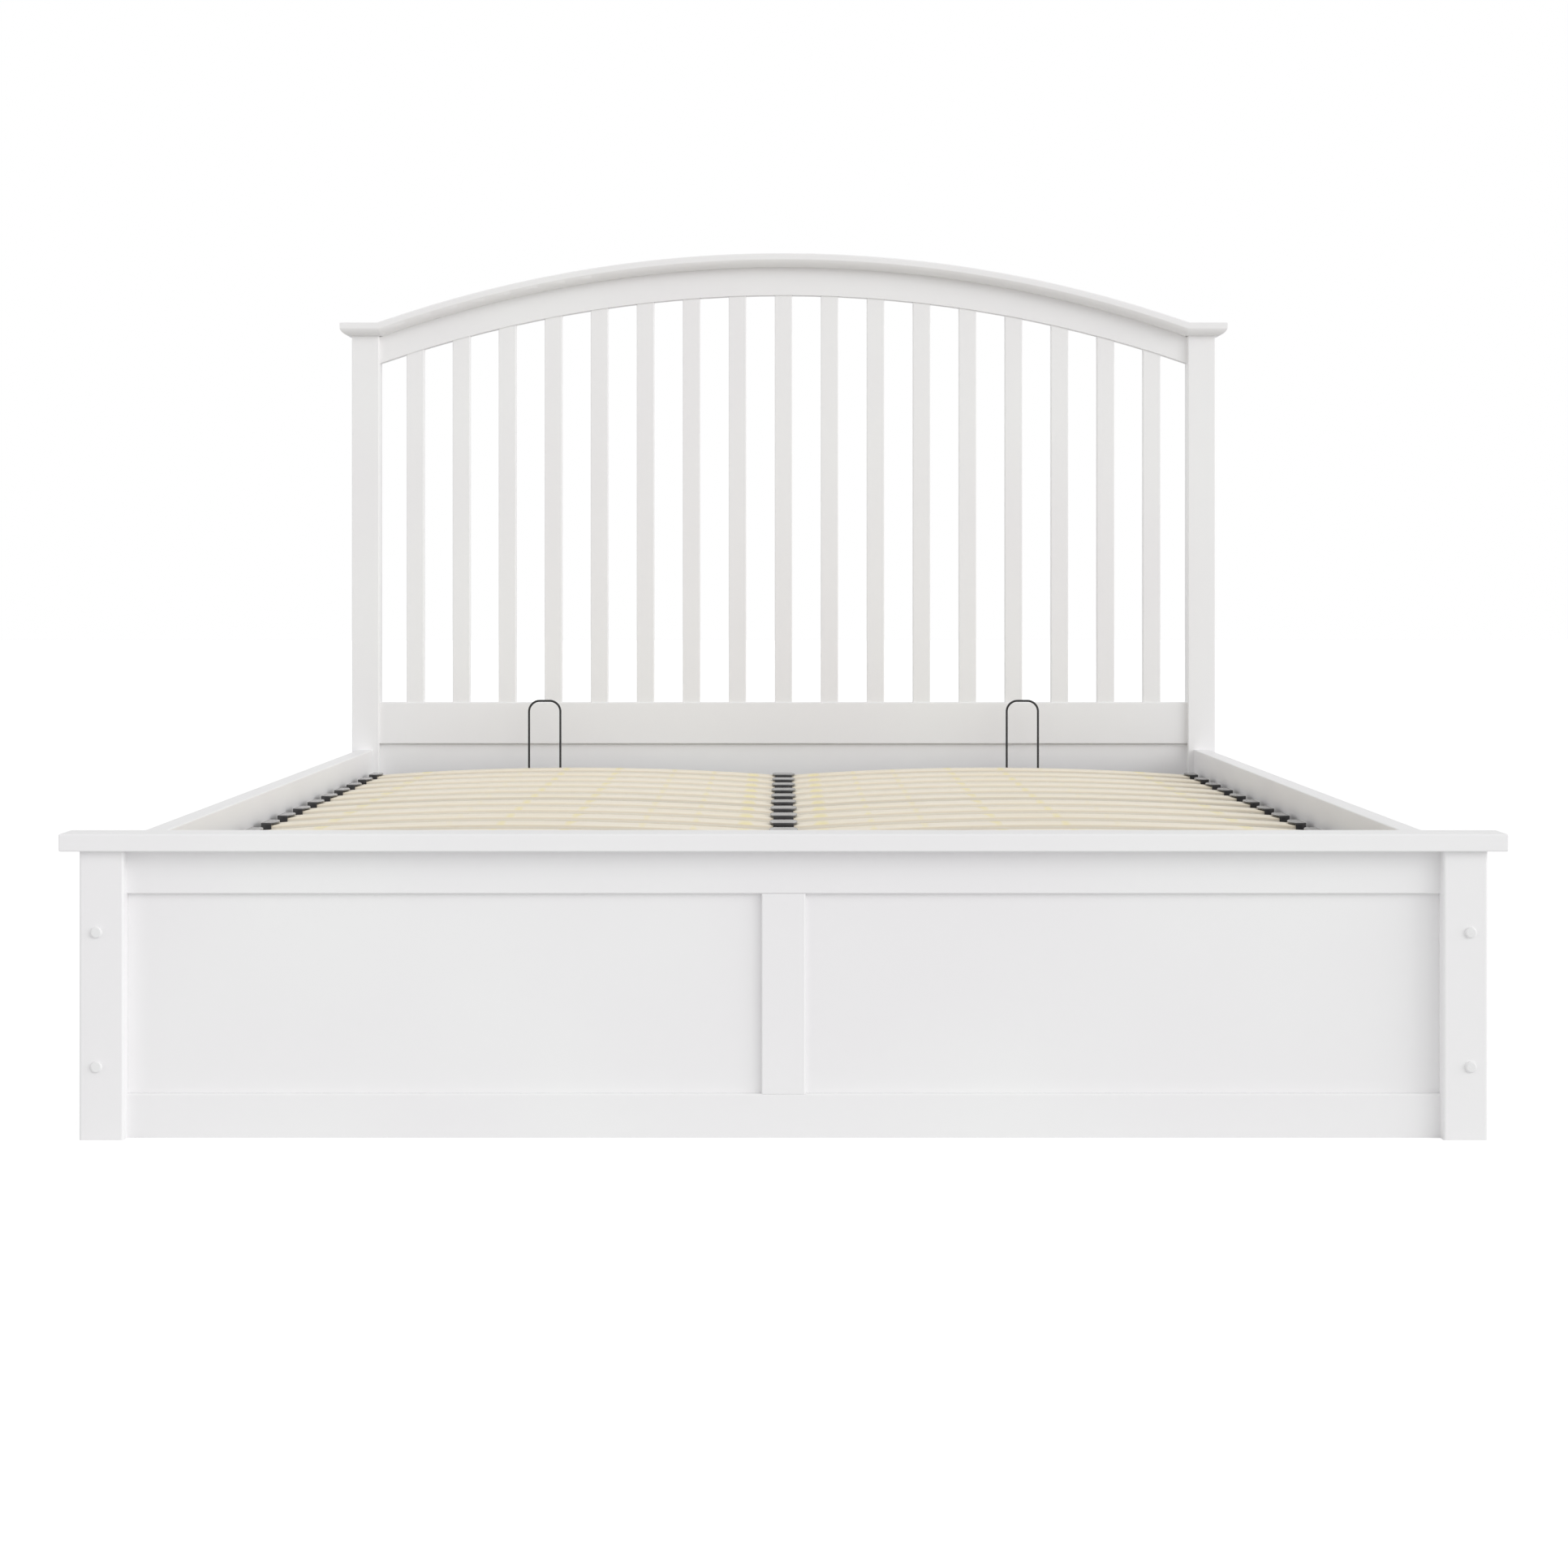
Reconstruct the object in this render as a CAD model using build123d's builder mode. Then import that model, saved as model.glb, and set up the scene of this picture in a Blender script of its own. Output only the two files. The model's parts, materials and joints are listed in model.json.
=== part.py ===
from build123d import *
import math
import os

os.makedirs("parts", exist_ok=True)

# End-opening ottoman bed for a double mattress, drawn closed, in millimetres.
# X runs across the bed, +Y points to the headboard and Z is up from the floor.
# The origin is on the floor, below the middle of the whole bed.

# Room for the mattress
mattress_width = 1350
side_clearance = 7.5
frame_length = 2000

# Timber sections
post_width = 45
post_depth = 42
leg_depth = 45
rail_thick = 25
rail_inset = 10
board_thick = 22
panel_thick = 8
groove_depth = 8
joint_slack = 0.25
edge_round = 1.5
leg_round = 2.5

# Headboard
post_height = 983
head_setback = 10
arch_rise = 114.7
arch_rail_depth = 46
arch_rail_end_depth = 45
lower_rail_base = 304.5
lower_rail_depth = 69
head_bottom_rail_depth = 60
head_panel_setback = 17
spindle_count = 17
spindle_end_room = 58.9
spindle_width = 29
spindle_thick = 18
spindle_setback = 12
spindle_tenon = 14

# Moulded cap of the headboard
cap_thick = 21
cap_band = 10
cap_overhang = 18
cap_round_in = 14
cap_round_bulge = 2.5

# Footboard
leg_height = 295
foot_setback = 15
foot_top_rail_depth = 45
foot_bottom_rail_depth = 45
foot_stile_width = 45
foot_panel_recess = 7
foot_cap_thick = 18
foot_cap_side_overhang = 19
foot_cap_front_overhang = 10

# Side rails and their knock-down fittings
rail_base_gap = 5
bolt_from_outside = 17.5
bolt_heights = (75, 212)
bolt_radius = 3
bolt_length = 80
bolt_head_radius = 5
bolt_head_length = 6
bolt_recess = 6
bolt_socket_radius = 2.5
bolt_socket_depth = 3.5
bolt_end_room = 2
cover_radius = 5.75
cover_proud = 3
cover_plug_length = 5
barrel_radius = 5
barrel_length = 20
barrel_from_end = 38
barrel_inset = 2.5

# Storage floor
floor_board_count = 4
floor_board_thick = 6
floor_board_gap = 1
floor_bearer_height = 18
floor_bearer_width = 40
ledge_width = 20
ledge_base_gap = 5

# Rest for the closed platform
rest_batten_depth = 50
rest_batten_height = 25
buffer_radius = 10
buffer_height = 3
buffer_round = 0.75
buffer_x = 400
rest_gap = 0.3

# Platform frame of rectangular steel tube
tube_width = 25
tube_height = 30
tube_wall = 1.5
tube_corner = 3
platform_top = 245
platform_side_gap = 12.5
platform_foot_gap = 15
platform_head_gap = 30
mid_tube_from_pivot = (65, -545, -1095)
plug_thick = 2
plug_depth = 14

# Sprung slats and their holders
slat_count = 14
slat_width = 53
slat_thick = 8
slat_crown = 16.5
slat_head_margin = 43.7
slat_foot_margin = 120.7
slat_edge_round = 2
holder_wall = 2.5
holder_body = 13.3
holder_pocket = 10
holder_seat = 5
holder_lip = 2
holder_lip_gap = 1.4
end_lip_reach = 8.7
centre_lip_reach = 4.9
holder_overhang = 2
holder_slack = 0.6
peg_radius = 4
peg_length = 12
peg_from_outside = 8

# Wire bars that hold the mattress at the head end
wire_radius = 1.75
bar_x = 393.5
bar_spread = 51.5
bar_bend = 17.5
bar_top = 379.7
bar_from_head = 15
bar_depth_in_tube = 26

# Pull strap at the foot end
strap_reach = 110
strap_width = 22
strap_thick = 2.5
strap_crown = 12
strap_foot_length = 22
strap_slope_length = 30
strap_screw_radius = 3
strap_screw_head_radius = 6
strap_screw_head = 2.5
strap_screw_length = 12

# Lift pivot
pivot_from_post = 300
pivot_drop = 15
lift_angle = 42
hinge_plate_thick = 5
hinge_plate_length = 110
hinge_plate_height = 48
hinge_boss_radius = 8
hinge_boss_length = 8
lift_plate_thick = 4
lift_plate_length = 90
plate_corner = 3
pivot_radius = 5
pivot_thread_radius = 4
pivot_head_radius = 9
pivot_head_length = 7
pivot_socket_radius = 4
pivot_socket_depth = 3.5
running_clearance = 0.05
side_play = 0.3
screw_radius = 2.25
screw_length = 18
screw_end_room = 2
screw_head_radius = 4.5
countersink_angle = 90
hinge_screw_y = 42
hinge_screw_z = 15

# Gas struts, with both pins at one distance from the lift pivot
strut_pin_radius = 220
lower_pin_height = 45
strut_inset = 18
pin_radius = 4
eye_radius = 9
eye_width = 12
pin_collar_radius = 6.5
pin_head_length = 2.5
bracket_thick = 3
bracket_height = 34
bracket_base_gap = 6
bracket_web = 38
bracket_lip = 22
bracket_screw_rise = 9
bracket_reach_past_eye = 5
cylinder_radius = 9
cylinder_wall = 1
cylinder_start = 18
cylinder_length = 150
cylinder_end_wall = 6
neck_radius = 5.5
rod_radius = 4
piston_length = 8
piston_start = 28
rod_fitting_radius = 5.5
rod_fitting_length = 16

# Places worked out from the sizes above
rail_inner_x = mattress_width / 2 + side_clearance
rail_outer_x = rail_inner_x + rail_thick
outer_x = rail_outer_x + rail_inset
inner_x = outer_x - post_width
overall_length = foot_cap_front_overhang + frame_length + post_depth + cap_overhang
leg_front = foot_cap_front_overhang - overall_length / 2
leg_back = leg_front + leg_depth
post_front = leg_front + frame_length
post_back = post_front + post_depth
rail_length = post_front - leg_back
rail_middle_y = (leg_back + post_front) / 2
head_board_front = post_front + head_setback
head_board_back = head_board_front + board_thick
foot_board_front = leg_front + foot_setback
foot_board_back = foot_board_front + board_thick
cap_top = post_height + cap_thick
floor_top = floor_bearer_height + floor_board_thick

tube_top = platform_top
tube_base = platform_top - tube_height
tube_mid = platform_top - tube_height / 2
platform_foot = leg_back + platform_foot_gap
platform_head = post_front - platform_head_gap
side_tube_outer = rail_inner_x - platform_side_gap
side_tube_inner = side_tube_outer - tube_width
side_tube_mid = side_tube_outer - tube_width / 2
pivot_y = post_front - pivot_from_post
pivot_z = platform_top - pivot_drop

upper_pin = (pivot_y - strut_pin_radius, pivot_z)
lower_pin_drop = pivot_z - lower_pin_height
lower_pin = (pivot_y - math.sqrt(strut_pin_radius**2 - lower_pin_drop**2), lower_pin_height)
strut_x = side_tube_inner - strut_inset
strut_length = math.dist(lower_pin, upper_pin)
strut_line = (0, upper_pin[0] - lower_pin[0], upper_pin[1] - lower_pin[1])

slat_start = holder_body
slat_end = side_tube_outer + holder_overhang - holder_body
slat_centre = (slat_start + slat_end) / 2
slat_mouth_top = tube_top + holder_seat + slat_thick
first_slat_y = platform_head - slat_head_margin - slat_width / 2
last_slat_y = platform_foot + slat_foot_margin + slat_width / 2
slat_pitch = (first_slat_y - last_slat_y) / (slat_count - 1)
slat_ys = [first_slat_y - i * slat_pitch for i in range(slat_count)]
spindle_pitch = 2 * (inner_x - spindle_end_room) / (spindle_count - 1)
spindle_xs = [(i - (spindle_count - 1) / 2) * spindle_pitch for i in range(spindle_count)]

# Alignment of a round piece that grows from its start, and how far a cut runs past a surface
from_start = (Align.CENTER, Align.CENTER, Align.MIN)
cut_past = 1


def block(low, high, mode=Mode.ADD):
    """A box between two opposite corners."""
    middle = [(a + b) / 2 for a, b in zip(low, high)]
    with Locations(tuple(middle)):
        Box(*[b - a for a, b in zip(low, high)], mode=mode)


def bar(start, direction, radius, length, mode=Mode.ADD):
    """A round bar from a point along a direction."""
    with Locations(Plane(origin=start, z_dir=direction)):
        Cylinder(radius, length, align=from_start, mode=mode)


def write(piece, label):
    """Label a finished piece and save it under that name."""
    piece.part.label = label
    export_step(piece.part, f"parts/{label}.step")


def write_pair(right, label):
    """Save the right-hand piece and its mirror image on the left."""
    with BuildPart() as left:
        mirror(right.part, about=Plane.YZ)
    write(right, f"right_{label}")
    write(left, f"left_{label}")


def arc_through(end_z, rise):
    """Radius and centre height of the arc that rises between the posts."""
    radius = (inner_x**2 + rise**2) / (2 * rise)
    return radius, end_z + rise - radius


def height_on(arc, x):
    """Height of an arc at a distance from the bed's middle."""
    radius, centre_z = arc
    return centre_z + math.sqrt(radius**2 - x**2)


cap_top_arc = arc_through(cap_top, arch_rise)
cap_under_arc = (cap_top_arc[0] - cap_thick, cap_top_arc[1])
crest = cap_top + arch_rise
arch_rail_end = post_height - arch_rail_end_depth
arch_rail_arc = arc_through(arch_rail_end, crest - cap_thick - arch_rail_depth - arch_rail_end)

cap_end_slope = math.asin(inner_x / cap_top_arc[0])
cap_half_depth = post_depth / 2 + cap_overhang
cap_middle_y = post_front + post_depth / 2


def facing_foot(y):
    """An upright plane across the bed, seen from the foot; a negative extrusion goes headward."""
    return Plane.XZ.offset(-y)


def mitre(side):
    """The cut over a post's inner face, halfway between the cap's two directions."""
    across = side * math.cos(cap_end_slope / 2)
    down = -math.sin(cap_end_slope / 2)
    return Plane(origin=(side * inner_x, 0, cap_top), x_dir=(0, 1, 0), z_dir=(across, 0, down))


def cap_section(plane):
    """Outline of the moulded cap, as wide as the cap is deep, hanging from the plane's origin."""
    w = cap_half_depth
    drop = cap_thick - cap_band
    slant = math.hypot(cap_round_in, drop)
    bulge_x = w - cap_round_in / 2 + cap_round_bulge * drop / slant
    bulge_y = -cap_band - drop / 2 - cap_round_bulge * cap_round_in / slant
    with BuildSketch(plane) as outline:
        with BuildLine():
            Line((0, 0), (w - edge_round, 0))
            RadiusArc((w - edge_round, 0), (w, -edge_round), edge_round)
            Line((w, -edge_round), (w, -cap_band))
            ThreePointArc((w, -cap_band), (bulge_x, bulge_y), (w - cap_round_in, -cap_thick))
            Line((w - cap_round_in, -cap_thick), (0, -cap_thick))
            mirror(about=Plane.YZ)
        make_face()
    return outline.sketch


def tube_between(start, end):
    """A rectangular steel tube between two points of its axis, with its height upright."""
    line = Vector(*end) - Vector(*start)
    with BuildPart() as piece:
        with BuildSketch(Plane(origin=start, x_dir=line.cross(Vector(0, 0, 1)), z_dir=line)):
            RectangleRounded(tube_width, tube_height, tube_corner)
            RectangleRounded(
                tube_width - 2 * tube_wall,
                tube_height - 2 * tube_wall,
                tube_corner - tube_wall,
                mode=Mode.SUBTRACT,
            )
        extrude(amount=line.length)
    return piece.part


def bolt_places(sides=(1, -1)):
    """Where each frame bolt starts, on the outer face of a leg or post, and the way it goes in."""
    x = outer_x - bolt_from_outside
    for face, way in ((leg_front, 1), (post_back, -1)):
        for side in sides:
            for z in bolt_heights:
                yield Plane(origin=(side * x, face, z), x_dir=(1, 0, 0), z_dir=(0, way, 0))


def cut_bolt_bores():
    """Recesses and shank bores of the frame bolts on the right-hand side."""
    recess = bolt_recess + bolt_head_length
    with Locations(*bolt_places(sides=(1,))):
        Cylinder(bolt_head_radius + joint_slack, recess, align=from_start, mode=Mode.SUBTRACT)
        Cylinder(
            bolt_radius + joint_slack,
            recess + bolt_length + bolt_end_room,
            align=from_start,
            mode=Mode.SUBTRACT,
        )


def cut_panel_groove(low_x, high_x, front, low_z, high_z):
    """A groove for a panel whose front face is given, open where it runs past the piece."""
    block(
        (low_x, front - joint_slack, low_z),
        (high_x, front + panel_thick + joint_slack, high_z),
        Mode.SUBTRACT,
    )


def cut_rail_groove(front, low_z, high_z):
    """A panel groove along the whole of a rail between the posts or the legs."""
    cut_panel_groove(-inner_x - cut_past, inner_x + cut_past, front, low_z, high_z)


head_panel_front = post_front + head_panel_setback
head_panel_base = head_bottom_rail_depth - groove_depth
head_panel_top = lower_rail_base + groove_depth
foot_panel_front = foot_board_front + foot_panel_recess
foot_panel_base = foot_bottom_rail_depth - groove_depth
foot_panel_top = leg_height - foot_top_rail_depth + groove_depth
panel_end = inner_x + groove_depth

# Head post
with BuildPart() as head_post:
    block((inner_x, post_front, 0), (outer_x, post_back, post_height))
    fillet(head_post.edges().filter_by(Axis.Z), edge_round)
    cut_panel_groove(inner_x - cut_past, panel_end, head_panel_front, head_panel_base, head_panel_top)
    cut_bolt_bores()
write_pair(head_post, "head_post")

# Arched top rail of the headboard, housed for the spindles
spindle_front = post_front + spindle_setback
with BuildPart() as arch_rail:
    with BuildSketch(facing_foot(head_board_front)):
        with BuildLine():
            under_middle = height_on(arch_rail_arc, 0)
            under_cap_end = height_on(cap_under_arc, inner_x)
            ThreePointArc((-inner_x, arch_rail_end), (0, under_middle), (inner_x, arch_rail_end))
            Line((inner_x, arch_rail_end), (inner_x, under_cap_end))
            ThreePointArc((inner_x, under_cap_end), (0, crest - cap_thick), (-inner_x, under_cap_end))
            Line((-inner_x, under_cap_end), (-inner_x, arch_rail_end))
        make_face()
    extrude(amount=-board_thick)


def spindle_top(x):
    """Top of a spindle's tenon, measured from the rail's under side at its inner edge."""
    return height_on(arch_rail_arc, max(abs(x) - spindle_width / 2, 0)) + spindle_tenon


def spindle_blocks(slack, low_z, mode):
    """One block for each spindle, or with slack one housing for each."""
    for x in spindle_xs:
        block(
            (x - spindle_width / 2 - slack, spindle_front - slack, low_z - slack),
            (x + spindle_width / 2 + slack, spindle_front + spindle_thick + slack, spindle_top(x) + slack),
            mode,
        )


# Spindles, and the two rails that hold their ends
lower_rail_top = lower_rail_base + lower_rail_depth
with BuildPart() as spindles:
    spindle_blocks(0, lower_rail_top - spindle_tenon, Mode.ADD)
    fillet(spindles.edges().filter_by(Axis.Z), edge_round)
write(spindles, "headboard_spindles")

with BuildPart() as housed_arch_rail:
    add(arch_rail.part)
    spindle_blocks(joint_slack, arch_rail_end - spindle_tenon, Mode.SUBTRACT)
write(housed_arch_rail, "headboard_arch_rail")

with BuildPart() as lower_rail:
    block((-inner_x, head_board_front, lower_rail_base), (inner_x, head_board_back, lower_rail_top))
    fillet(lower_rail.edges().filter_by(Axis.X), edge_round)
    spindle_blocks(joint_slack, lower_rail_top - spindle_tenon, Mode.SUBTRACT)
    cut_rail_groove(head_panel_front, lower_rail_base - cut_past, head_panel_top)
write(lower_rail, "headboard_lower_rail")

with BuildPart() as head_bottom_rail:
    block((-inner_x, head_board_front, 0), (inner_x, head_board_back, head_bottom_rail_depth))
    fillet(head_bottom_rail.edges().filter_by(Axis.X), edge_round)
    cut_rail_groove(head_panel_front, head_panel_base, head_bottom_rail_depth + cut_past)
write(head_bottom_rail, "headboard_bottom_rail")

with BuildPart() as head_panel:
    block(
        (joint_slack - panel_end, head_panel_front, head_panel_base + joint_slack),
        (panel_end - joint_slack, head_panel_front + panel_thick, head_panel_top - joint_slack),
    )
write(head_panel, "headboard_panel")

# Moulded cap, following the arch and then flat over each post
cap_run_past = 20
with BuildPart() as arch_cap:
    with BuildLine() as cap_path:
        reach = inner_x + cap_run_past
        ThreePointArc(
            (-reach, cap_middle_y, height_on(cap_top_arc, reach)),
            (0, cap_middle_y, crest),
            (reach, cap_middle_y, height_on(cap_top_arc, reach)),
        )
    start = Plane(origin=cap_path.line @ 0, x_dir=(0, 1, 0), z_dir=cap_path.line % 0)
    sweep(cap_section(start), path=cap_path.line)
    split(bisect_by=mitre(1), keep=Keep.BOTTOM)
    split(bisect_by=mitre(-1), keep=Keep.BOTTOM)
write(arch_cap, "arch_cap")

with BuildPart() as post_cap:
    across = Plane(origin=(inner_x - cap_run_past, cap_middle_y, cap_top), x_dir=(0, 1, 0), z_dir=(1, 0, 0))
    extrude(cap_section(across), amount=cap_run_past + post_width + cap_overhang)
    along = Plane(
        origin=(outer_x + cap_overhang - cap_half_depth, cap_middle_y - cap_half_depth, cap_top),
        x_dir=(1, 0, 0),
        z_dir=(0, -1, 0),
    )
    extrude(cap_section(along), amount=-2 * cap_half_depth, mode=Mode.INTERSECT)
    split(bisect_by=mitre(1), keep=Keep.TOP)
write_pair(post_cap, "post_cap")

# Footboard
with BuildPart() as foot_leg:
    block((inner_x, leg_front, 0), (outer_x, leg_back, leg_height))
    fillet(foot_leg.edges().filter_by(Axis.Z), leg_round)
    cut_panel_groove(inner_x - cut_past, panel_end, foot_panel_front, foot_panel_base, foot_panel_top)
    cut_bolt_bores()
write_pair(foot_leg, "foot_leg")

foot_top_rail_base = leg_height - foot_top_rail_depth
with BuildPart() as foot_top_rail:
    block((-inner_x, foot_board_front, foot_top_rail_base), (inner_x, foot_board_back, leg_height))
    fillet(foot_top_rail.edges().filter_by(Axis.X).group_by(Axis.Z)[0], edge_round)
    cut_rail_groove(foot_panel_front, foot_top_rail_base - cut_past, foot_panel_top)
write(foot_top_rail, "footboard_top_rail")

with BuildPart() as foot_bottom_rail:
    block((-inner_x, foot_board_front, 0), (inner_x, foot_board_back, foot_bottom_rail_depth))
    fillet(foot_bottom_rail.edges().filter_by(Axis.X).group_by(Axis.Z)[-1], edge_round)
    cut_rail_groove(foot_panel_front, foot_panel_base, foot_bottom_rail_depth + cut_past)
write(foot_bottom_rail, "footboard_bottom_rail")

stile_half = foot_stile_width / 2
with BuildPart() as centre_stile:
    block(
        (-stile_half, foot_board_front, foot_bottom_rail_depth),
        (stile_half, foot_board_back, foot_top_rail_base),
    )
    fillet(centre_stile.edges().filter_by(Axis.Z), edge_round)
    for side in (1, -1):
        with Locations((side * stile_half, foot_panel_front + panel_thick / 2, leg_height / 2)):
            Box(2 * groove_depth, panel_thick + 2 * joint_slack, leg_height, mode=Mode.SUBTRACT)
write(centre_stile, "footboard_centre_stile")

with BuildPart() as foot_panel:
    block(
        (stile_half - groove_depth + joint_slack, foot_panel_front, foot_panel_base + joint_slack),
        (panel_end - joint_slack, foot_panel_front + panel_thick, foot_panel_top - joint_slack),
    )
write_pair(foot_panel, "footboard_panel")

foot_cap_end = outer_x + foot_cap_side_overhang
with BuildPart() as foot_cap:
    block(
        (-foot_cap_end, leg_front - foot_cap_front_overhang, leg_height),
        (foot_cap_end, leg_back, leg_height + foot_cap_thick),
    )
    fillet(foot_cap.edges(), edge_round)
write(foot_cap, "footboard_cap")

# Side rail, with the bores for its fittings and the pockets for the lift hardware
barrel_start = rail_inner_x + barrel_inset
barrel_places = [(leg_back + barrel_from_end, z) for z in bolt_heights]
barrel_places += [(post_front - barrel_from_end, z) for z in bolt_heights]
hinge_face = rail_inner_x - hinge_plate_thick
hinge_screw_places = [
    (pivot_y + y, pivot_z + z)
    for y in (-hinge_screw_y, hinge_screw_y)
    for z in (-hinge_screw_z, hinge_screw_z)
]
bracket_base = floor_top + bracket_base_gap
bracket_face = rail_inner_x - bracket_thick
bracket_web_x = strut_x + eye_width / 2 + bracket_reach_past_eye
bracket_lip_middle = (bracket_web + bracket_lip) / 2
bracket_screw_places = [
    (lower_pin[0] + y, bracket_base + z)
    for y in (-bracket_lip_middle, bracket_lip_middle)
    for z in (bracket_screw_rise, bracket_height - bracket_screw_rise)
]
with BuildPart() as side_rail:
    block((rail_inner_x, leg_back, rail_base_gap), (rail_outer_x, post_front, leg_height))
    fillet(side_rail.edges().filter_by(Axis.Y), edge_round)
    cut_bolt_bores()
    for y, z in barrel_places:
        barrel_hole = barrel_inset + barrel_length + joint_slack
        bar((rail_inner_x, y, z), (1, 0, 0), barrel_radius + joint_slack, barrel_hole, Mode.SUBTRACT)
    boss_pocket = hinge_boss_length + joint_slack
    boss_place = (rail_inner_x, pivot_y, pivot_z)
    bar(boss_place, (1, 0, 0), hinge_boss_radius + joint_slack, boss_pocket, Mode.SUBTRACT)
    for y, z in hinge_screw_places + bracket_screw_places:
        pilot_radius = screw_radius + running_clearance
        bar((rail_inner_x, y, z), (1, 0, 0), pilot_radius, screw_length, Mode.SUBTRACT)
write_pair(side_rail, "side_rail")

# Bolts, barrel nuts and the white caps over the bolt heads
with BuildPart() as frame_bolts:
    for place in bolt_places():
        with Locations(place.offset(bolt_recess)):
            Cylinder(bolt_head_radius, bolt_head_length, align=from_start)
        with Locations(place.offset(bolt_recess + bolt_head_length)):
            Cylinder(bolt_radius, bolt_length, align=from_start)
        with BuildSketch(place.offset(bolt_recess)):
            RegularPolygon(bolt_socket_radius, 6)
        extrude(amount=bolt_socket_depth, mode=Mode.SUBTRACT)
write(frame_bolts, "frame_bolts")

with BuildPart() as barrel_nuts:
    for side in (1, -1):
        for y, z in barrel_places:
            bar((side * barrel_start, y, z), (side, 0, 0), barrel_radius, barrel_length)
    for place in bolt_places():
        with Locations(place.offset(bolt_recess + bolt_head_length)):
            thread_radius = bolt_radius + running_clearance
            Cylinder(thread_radius, bolt_length + bolt_end_room, align=from_start, mode=Mode.SUBTRACT)
write(barrel_nuts, "barrel_nuts")

with BuildPart() as cover_caps:
    for place in bolt_places():
        with Locations(place.offset(-cover_proud)):
            Cylinder(cover_radius, cover_proud, align=from_start)
        with Locations(place):
            Cylinder(bolt_head_radius, cover_plug_length, align=from_start)
    by_depth = cover_caps.edges().group_by(Axis.Y)
    fillet(by_depth[0] + by_depth[-1], edge_round)
write(cover_caps, "bolt_cover_caps")

# Storage floor on its bearers
with BuildPart() as floor_bearers:
    for side in (1, -1):
        with Locations((side * (rail_inner_x - ledge_width / 2), rail_middle_y, ledge_base_gap)):
            Box(ledge_width, rail_length, floor_bearer_height - ledge_base_gap, align=from_start)
    bearer_half = floor_bearer_width / 2
    block((-bearer_half, foot_board_back, 0), (bearer_half, head_board_front, floor_bearer_height))
write(floor_bearers, "floor_bearers")

board_pitch = rail_length / floor_board_count
board_half_width = rail_inner_x - floor_board_gap
for i in range(floor_board_count):
    board_start = leg_back + i * board_pitch + floor_board_gap / 2
    board_end = leg_back + (i + 1) * board_pitch - floor_board_gap / 2
    with BuildPart() as floor_board:
        block(
            (-board_half_width, board_start, floor_bearer_height),
            (board_half_width, board_end, floor_top),
        )
    write(floor_board, f"floor_board_{i + 1}")

# Batten and rubber buffers under the foot end of the platform
batten_top = tube_base - rest_gap - buffer_height
with BuildPart() as rest_batten:
    block(
        (-inner_x, foot_board_back, batten_top - rest_batten_height),
        (inner_x, foot_board_back + rest_batten_depth, batten_top),
    )
    fillet(rest_batten.edges().filter_by(Axis.X).sort_by(Axis.Y)[-2:], edge_round)
write(rest_batten, "foot_rest_batten")

foot_tube_y = platform_foot + tube_width / 2
head_tube_y = platform_head - tube_width / 2
with BuildPart() as rest_buffers:
    for x in (-buffer_x, 0, buffer_x):
        bar((x, foot_tube_y, batten_top), (0, 0, 1), buffer_radius, buffer_height)
    fillet(rest_buffers.edges().group_by(Axis.Z)[-1], buffer_round)
write(rest_buffers, "rest_buffers")

# Hinge plate on the side rail, with a collar that the lift plate runs against
collar_face = side_tube_outer + lift_plate_thick + side_play
with BuildPart() as hinge_plate:
    block(
        (hinge_face, pivot_y - hinge_plate_length / 2, pivot_z - hinge_plate_height / 2),
        (rail_inner_x, pivot_y + hinge_plate_length / 2, pivot_z + hinge_plate_height / 2),
    )
    fillet(hinge_plate.edges().filter_by(Axis.X), plate_corner)
    bar((collar_face, pivot_y, pivot_z), (1, 0, 0), hinge_boss_radius, hinge_face - collar_face)
    bar((rail_inner_x, pivot_y, pivot_z), (1, 0, 0), hinge_boss_radius, hinge_boss_length)
    bore_length = rail_inner_x + hinge_boss_length - collar_face
    bore_radius = pivot_thread_radius + running_clearance
    bar((collar_face, pivot_y, pivot_z), (1, 0, 0), bore_radius, bore_length, Mode.SUBTRACT)
    for y, z in hinge_screw_places:
        with Locations(Plane(origin=(hinge_face, y, z), z_dir=(-1, 0, 0))):
            CounterSinkHole(
                screw_radius + running_clearance,
                screw_head_radius + running_clearance,
                hinge_plate_thick,
                countersink_angle,
            )
write_pair(hinge_plate, "hinge_plate")

# Shoulder bolt through the side tube and lift plate, screwed into the hinge plate
with BuildPart() as pivot_bolts:
    for side in (1, -1):
        under_head = side_tube_inner - side_play
        shoulder = collar_face - under_head
        thread = hinge_plate_thick + hinge_boss_length
        head_start = side * (under_head - pivot_head_length)
        bar((head_start, pivot_y, pivot_z), (side, 0, 0), pivot_head_radius, pivot_head_length)
        bar((side * under_head, pivot_y, pivot_z), (side, 0, 0), pivot_radius, shoulder)
        bar((side * collar_face, pivot_y, pivot_z), (side, 0, 0), pivot_thread_radius, thread)
        with BuildSketch(Plane(origin=(head_start, pivot_y, pivot_z), z_dir=(side, 0, 0))):
            RegularPolygon(pivot_socket_radius, 6)
        extrude(amount=pivot_socket_depth, mode=Mode.SUBTRACT)
write(pivot_bolts, "pivot_bolts")


def strut_pin(start_x, y, z):
    """A right-hand pin for a strut's eye: collar, shank and retaining head."""
    collar_end = strut_x + eye_width / 2 + side_play
    shank_end = strut_x - eye_width / 2 - side_play
    bar((start_x, y, z), (-1, 0, 0), pin_collar_radius, start_x - collar_end)
    bar((collar_end, y, z), (-1, 0, 0), pin_radius, collar_end - shank_end)
    bar((shank_end, y, z), (-1, 0, 0), pin_collar_radius, pin_head_length)


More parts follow.
